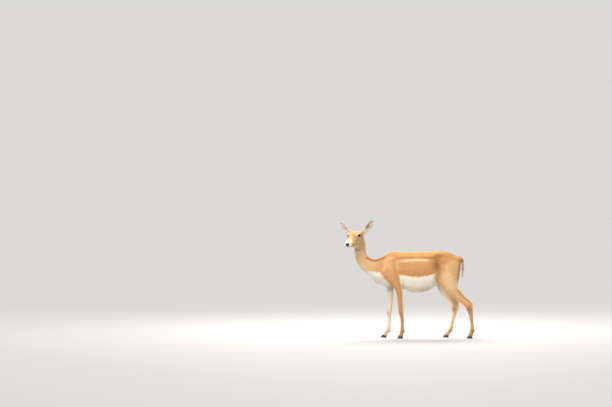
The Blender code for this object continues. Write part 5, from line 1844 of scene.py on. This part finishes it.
class DOE_OT_eyes(bpy.types.Operator):
    """Make the eyes with their clear bulge, the dark rims of the lids, and the lashes"""

    bl_idname = "doe.eyes"
    bl_label = "Eyes, lid rims and lashes"

    def execute(self, context):
        wet, bare = eye_material(), rim_material()
        for word, sign in SIDES.items():
            self.eyeball(word, sign, wet)
            self.rim(word, sign, bare)
            self.lashes(word, sign, context.scene.doe_sizes.lash_length / MM)
        return {"FINISHED"}

    def eyeball(self, word, sign, wet):
        """A ball whose radius grows by a bell of the angle from the gaze, as the cornea bulges."""
        ball, polar = unit_ball(64, 56, 0.015)
        radius = EYE_RADIUS - EYE_CLEAR + CORNEA_RISE * np.exp(-((polar / CORNEA_SPREAD) ** 4))
        mesh = loft_mesh(f"eyeball_{word}", ball * radius[..., None])
        layer = mesh.attributes.new("EyePlace", "FLOAT_VECTOR", "POINT")
        layer.data.foreach_set("vector", ball.reshape(-1, 3).astype(np.float32).ravel())
        write_points(mesh, to_world(through(eye_matrix(sign), read_points(mesh))))
        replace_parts(finished(mesh, wet), f"eye_{word}")

    def rim(self, word, sign, bare):
        """A flattened tube round the opening, thicker above, where the upper lid folds."""
        angle, path = lid_rim(sign, 120)
        out = unit_rows(path)
        along = unit_rows(np.roll(path, -1, axis=0) - np.roll(path, 1, axis=0))
        across = np.cross(out, along)
        upper = soft(np.sin(angle), -0.2, 0.6)
        mesh = ring_mesh(f"lid_rim_{word}", path, across, out, 1.6 + 0.4 * upper, 0.9 + 0.35 * upper)
        write_points(mesh, to_world(through(eye_matrix(sign), read_points(mesh))))
        finished(mesh, bare)

    def lashes(self, word, sign, longest):
        """Tapered lashes fanned from the upper rim, curving out and up, and short ones below."""
        draw = np.random.default_rng(SEED + 5)
        upper = np.linspace(math.radians(24), math.radians(158), LASHES_ABOVE)
        lower = np.linspace(math.radians(205), math.radians(335), LASHES_BELOW)
        angle = np.concatenate([upper, lower])
        angle = angle + draw.normal(0, 0.02, len(angle))
        around, path = lid_rim(sign, 240)
        root = np.stack([np.interp(angle, around, path[:, k]) for k in range(3)], axis=1)
        long = np.where(angle < math.pi, longest * (0.72 + 0.28 * np.sin(angle)), 0.36 * longest)
        long = long * draw.uniform(0.8, 1.1, len(angle))
        fan = np.stack([0.55 * np.cos(angle), 0.60 * np.sin(angle), np.full(len(angle), 0.75)], axis=1)
        lift = np.stack([0.4 * np.cos(angle), 0.6 * np.sin(angle), np.full(len(angle), 0.1)], axis=1)
        share = np.linspace(0, 1, 6)[None, :, None]
        bend = unit_rows(fan)[:, None] + 0.35 * share * lift[:, None]
        line = root[:, None] + long[:, None, None] * share * bend
        matrix = eye_matrix(sign)
        line = through(matrix, line.reshape(-1, 3)).reshape(line.shape)
        along = unit_rows(np.diff(line, axis=1))
        across = unit_rows(np.cross(along, np.array(matrix.to_3x3().col[2])))
        over = np.cross(across, along)
        count = len(angle)
        wide, thick = np.full(count, LASH_WIDTH), np.full(count, LASH_THICKNESS)
        tone = np.tile(np.array(LASH_TONE), (count, 1))
        mesh = tuft_mesh(f"lashes_{word}", line, across, over, wide, thick, tone, line[:, 0])
        finished(mesh, tuft_material())


def hoof_material():
    """Keratin: near black, with growth rings parallel to the coronet, faint upright grain, and a
    paler, scuffed edge at the ground."""
    look = bpy.context.scene.doe_colours
    made = Shader("hoof_horn", Specular_IOR_Level=0.4)
    spot = made.node("ShaderNodeTexCoord", {}, output="Object")
    height = made.attribute("Rings", "Fac")
    warp = made.noise(spot, 160.0, 2.0)
    rings = made.node("ShaderNodeTexNoise", {"noise_dimensions": "1D"}, output="Fac",
                      W=height * 26.0 + warp * 0.8, Scale=1.0, Detail=2.0)
    grain = made.noise(made.node("ShaderNodeMapping", {}, spot, Scale=(1, 1, 0.08)), 1400.0, 3.0)
    worn = made.step(height + 0.12 * warp, 0.20, 0.04)
    tone = made.blend(rings, colour(look.horn), colour(Vector(look.horn) * 2.4))
    tone = made.blend(worn * 0.6, tone, (0.16, 0.12, 0.085, 1))
    tone = made.blend(grain * 0.35, tone, colour(Vector(look.horn) * 0.6))
    return made.finish(bump=rings * 0.8 + grain * 0.35, strength=0.5, distance=0.0006,
                       Base_Color=tone, Roughness=0.36 + 0.22 * grain + 0.15 * worn)


def hoof_rings(foot, side, levels=26, around=64):
    """One claw: level rings from the sole to the coronet. Each is an oval, pointed at the toe, whose
    front leans back as it rises, with low growth rings, a rounded sole edge and a full heel."""
    heel, toe, y = FEET[foot]
    outward = side * (1 if y > 0 else -1)
    middle = y + outward * (HOOF_SPLIT + HOOF_HALF_WIDTH)
    share = angles(around)[None, :]
    top = np.linspace(0, 1, levels)[:, None]
    swell = 0.18 * np.sin(top * 2 * math.pi * 7) * soft(top, 0.05, 0.2)
    bevel = 0.7 * np.exp(-top * 26) + 0.9 * np.exp(-(1 - top) * 16)
    front, back = toe + HOOF_LEAN * top + bevel - swell, heel - HEEL_LEAN * top - bevel + 0.5 * swell
    centre, reach = (front + back) / 2, (back - front) / 2
    cos, sin = np.cos(share), np.sin(share)
    point = np.clip(-cos, 0, 1) ** 2
    width = (HOOF_HALF_WIDTH * (1 + HOOF_FLARE * (1 - top)) - bevel + swell) * (1 - TOE_POINT * point)
    x = centre + reach * cos
    rim = coronet_height(x, heel, toe)
    across = middle - TOE_TURN * point * outward + width * sin
    return np.stack([x, across, rim * top + 0 * x], axis=2), np.broadcast_to(top, x.shape)


class DOE_OT_hooves(bpy.types.Operator):
    """Make the eight claws of the hooves and finish the dewclaws"""

    bl_idname = "doe.hooves"
    bl_label = "Hooves and dewclaws"

    def execute(self, context):
        horn = hoof_material()
        for foot in FEET:
            for side, where in ((1, "outer"), (-1, "inner")):
                points, height = hoof_rings(foot, side)
                mesh = loft_mesh(f"claw_{foot}_{where}", points)
                write_values(mesh, "Rings", height.ravel())
                write_points(mesh, to_world(read_points(mesh)))
                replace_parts(finished(mesh, horn), f"hoof_{foot}_{where}")
                mesh.set_sharp_from_angle(angle=math.radians(60))
                self.dewclaw(frame["nodes"][f"dewclaw_{foot}_{where}"], horn)
        return {"FINISHED"}

    def dewclaw(self, node, horn):
        """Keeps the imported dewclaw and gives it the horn's finish, ringed by its height."""
        heights = read_points(node.data)[:, 2]
        span = heights.max() - heights.min()
        write_values(node.data, "Rings", 0.25 + 0.6 * (heights - heights.min()) / span)
        node.data.materials.clear()
        node.data.materials.append(horn)


def floor_mesh():
    """A flat disc of rings, each half as wide again as the one inside it, out to the horizon."""
    radius = np.concatenate([[0.0], 0.8 * 1.5 ** np.arange(21)])[1:]
    turn = angles(48)
    rings = radius[:, None, None] * np.stack([np.cos(turn), np.sin(turn), 0 * turn], axis=1)[None]
    faces = grid_faces(*rings.shape[:2]).tolist()
    faces.append(list(range(rings.shape[1])))
    return mesh_of("floor", rings, faces)


# Where each light comes from, and its colour
KEY_FROM, KEY_TONE = (-0.32, -0.70, 0.63), (1.0, 0.95, 0.87)
TOP_FROM, TOP_TONE, TOP_SHARE = (0.05, 0.2, 1.0), (1.0, 0.97, 0.92), 0.38
RIM_AT, RIM_AIM, RIM_SIZE, RIM_TONE = (-0.2, 1.5, 2.5), (0, 0, 0.6), (2.6, 1.2), (1.0, 0.96, 0.90)
SKY_TONE = (0.90, 0.93, 1.0, 1.0)
# The camera looks at this place of the body's frame, from a little above
CAMERA_AIM, CAMERA_TILT = (-946.0, 0.0, 1120.0), math.radians(2.5)
FOCAL_LENGTH, SENSOR_WIDTH = 283.0, 36.0


class DOE_OT_stage(bpy.types.Operator):
    """Lay the floor and set the lights and the camera"""

    bl_idname = "doe.stage"
    bl_label = "Stage"

    def execute(self, context):
        look = context.scene.stage_look
        floor = place(floor_mesh(), "floor")
        made = Shader("studio_floor", Roughness=0.8)
        grain = made.noise(made.place_on_object(), 30.0, 4.0)
        tone = made.blend(grain, colour(look.floor), colour(Vector(look.floor) * 0.97))
        floor.data.materials.append(made.finish(Base_Color=tone))
        self.lights(context.scene, look)
        self.camera(context.scene, look)
        context.scene.view_settings.view_transform = "Standard"
        return {"FINISHED"}

    def light(self, scene, kind, name, energy, tone, facing, at=(0, 0, 0)):
        """Links a light that shines from a direction, and gives its settings."""
        made = bpy.data.lights.new(name, kind)
        made.energy = energy
        made.color = tone
        lamp = bpy.data.objects.new(name, made)
        lamp.location = at
        lamp.rotation_euler = Vector(facing).to_track_quat("Z", "Y").to_euler()
        scene.collection.objects.link(lamp)
        return made

    def lights(self, scene, look):
        key = self.light(scene, "SUN", "key", look.sun, KEY_TONE, KEY_FROM)
        key.angle = math.radians(22)
        top = self.light(scene, "SUN", "top", TOP_SHARE * look.sun, TOP_TONE, TOP_FROM)
        top.angle = math.radians(60)
        facing = Vector(RIM_AT) - Vector(RIM_AIM)
        rim = self.light(scene, "AREA", "rim", look.rim, RIM_TONE, facing, RIM_AT)
        rim.shape = "RECTANGLE"
        rim.size, rim.size_y = RIM_SIZE
        world = bpy.data.worlds.new("studio")
        world.use_nodes = True
        shade = world.node_tree.nodes["Background"]
        shade.inputs["Color"].default_value = SKY_TONE
        shade.inputs["Strength"].default_value = look.sky
        scene.world = world

    def camera(self, scene, look):
        """The photograph's view: level, from the left side, a little above the doe's back."""
        lens = bpy.data.cameras.new("camera")
        lens.lens, lens.sensor_width = FOCAL_LENGTH, SENSOR_WIDTH
        lens.clip_start, lens.clip_end = 1.0, 3000.0
        camera = bpy.data.objects.new("camera", lens)
        aim = Vector(to_world(np.array(CAMERA_AIM)).tolist())
        back = Vector((0, -math.cos(CAMERA_TILT), math.sin(CAMERA_TILT)))
        camera.location = aim + back * look.camera_distance
        camera.rotation_euler = back.to_track_quat("Z", "Y").to_euler()
        scene.collection.objects.link(camera)
        scene.camera = camera


class DOE_PT_panel(bpy.types.Panel):
    """The doe's pieces, sizes and colours"""

    bl_idname = "DOE_PT_panel"
    bl_label = "Blackbuck doe"
    bl_space_type = "VIEW_3D"
    bl_region_type = "UI"
    bl_category = "Doe"

    def draw(self, context):
        layout = self.layout
        for step in STEPS:
            layout.operator(step.bl_idname)
        for group in (context.scene.doe_sizes, context.scene.doe_colours, context.scene.stage_look):
            box = layout.box()
            for name in group.__annotations__:
                box.prop(group, name)


GROUPS = {"doe_sizes": DoeSizes, "doe_colours": DoeColours, "stage_look": StageLook}
STEPS = (DOE_OT_skin, DOE_OT_coat, DOE_OT_long_hair, DOE_OT_eyes, DOE_OT_hooves, DOE_OT_stage)


def register():
    for made in (*GROUPS.values(), *STEPS, DOE_PT_panel):
        bpy.utils.register_class(made)
    for name, group in GROUPS.items():
        setattr(bpy.types.Scene, name, PointerProperty(type=group))


def unregister():
    for name in GROUPS:
        delattr(bpy.types.Scene, name)
    for made in (DOE_PT_panel, *reversed(STEPS), *reversed(list(GROUPS.values()))):
        bpy.utils.unregister_class(made)


def main():
    register()
    bpy.ops.doe.stage()
    bpy.ops.doe.skin()
    bpy.ops.doe.coat()
    bpy.ops.doe.long_hair()
    bpy.ops.doe.eyes()
    bpy.ops.doe.hooves()


if __name__ == "__main__":
    main()
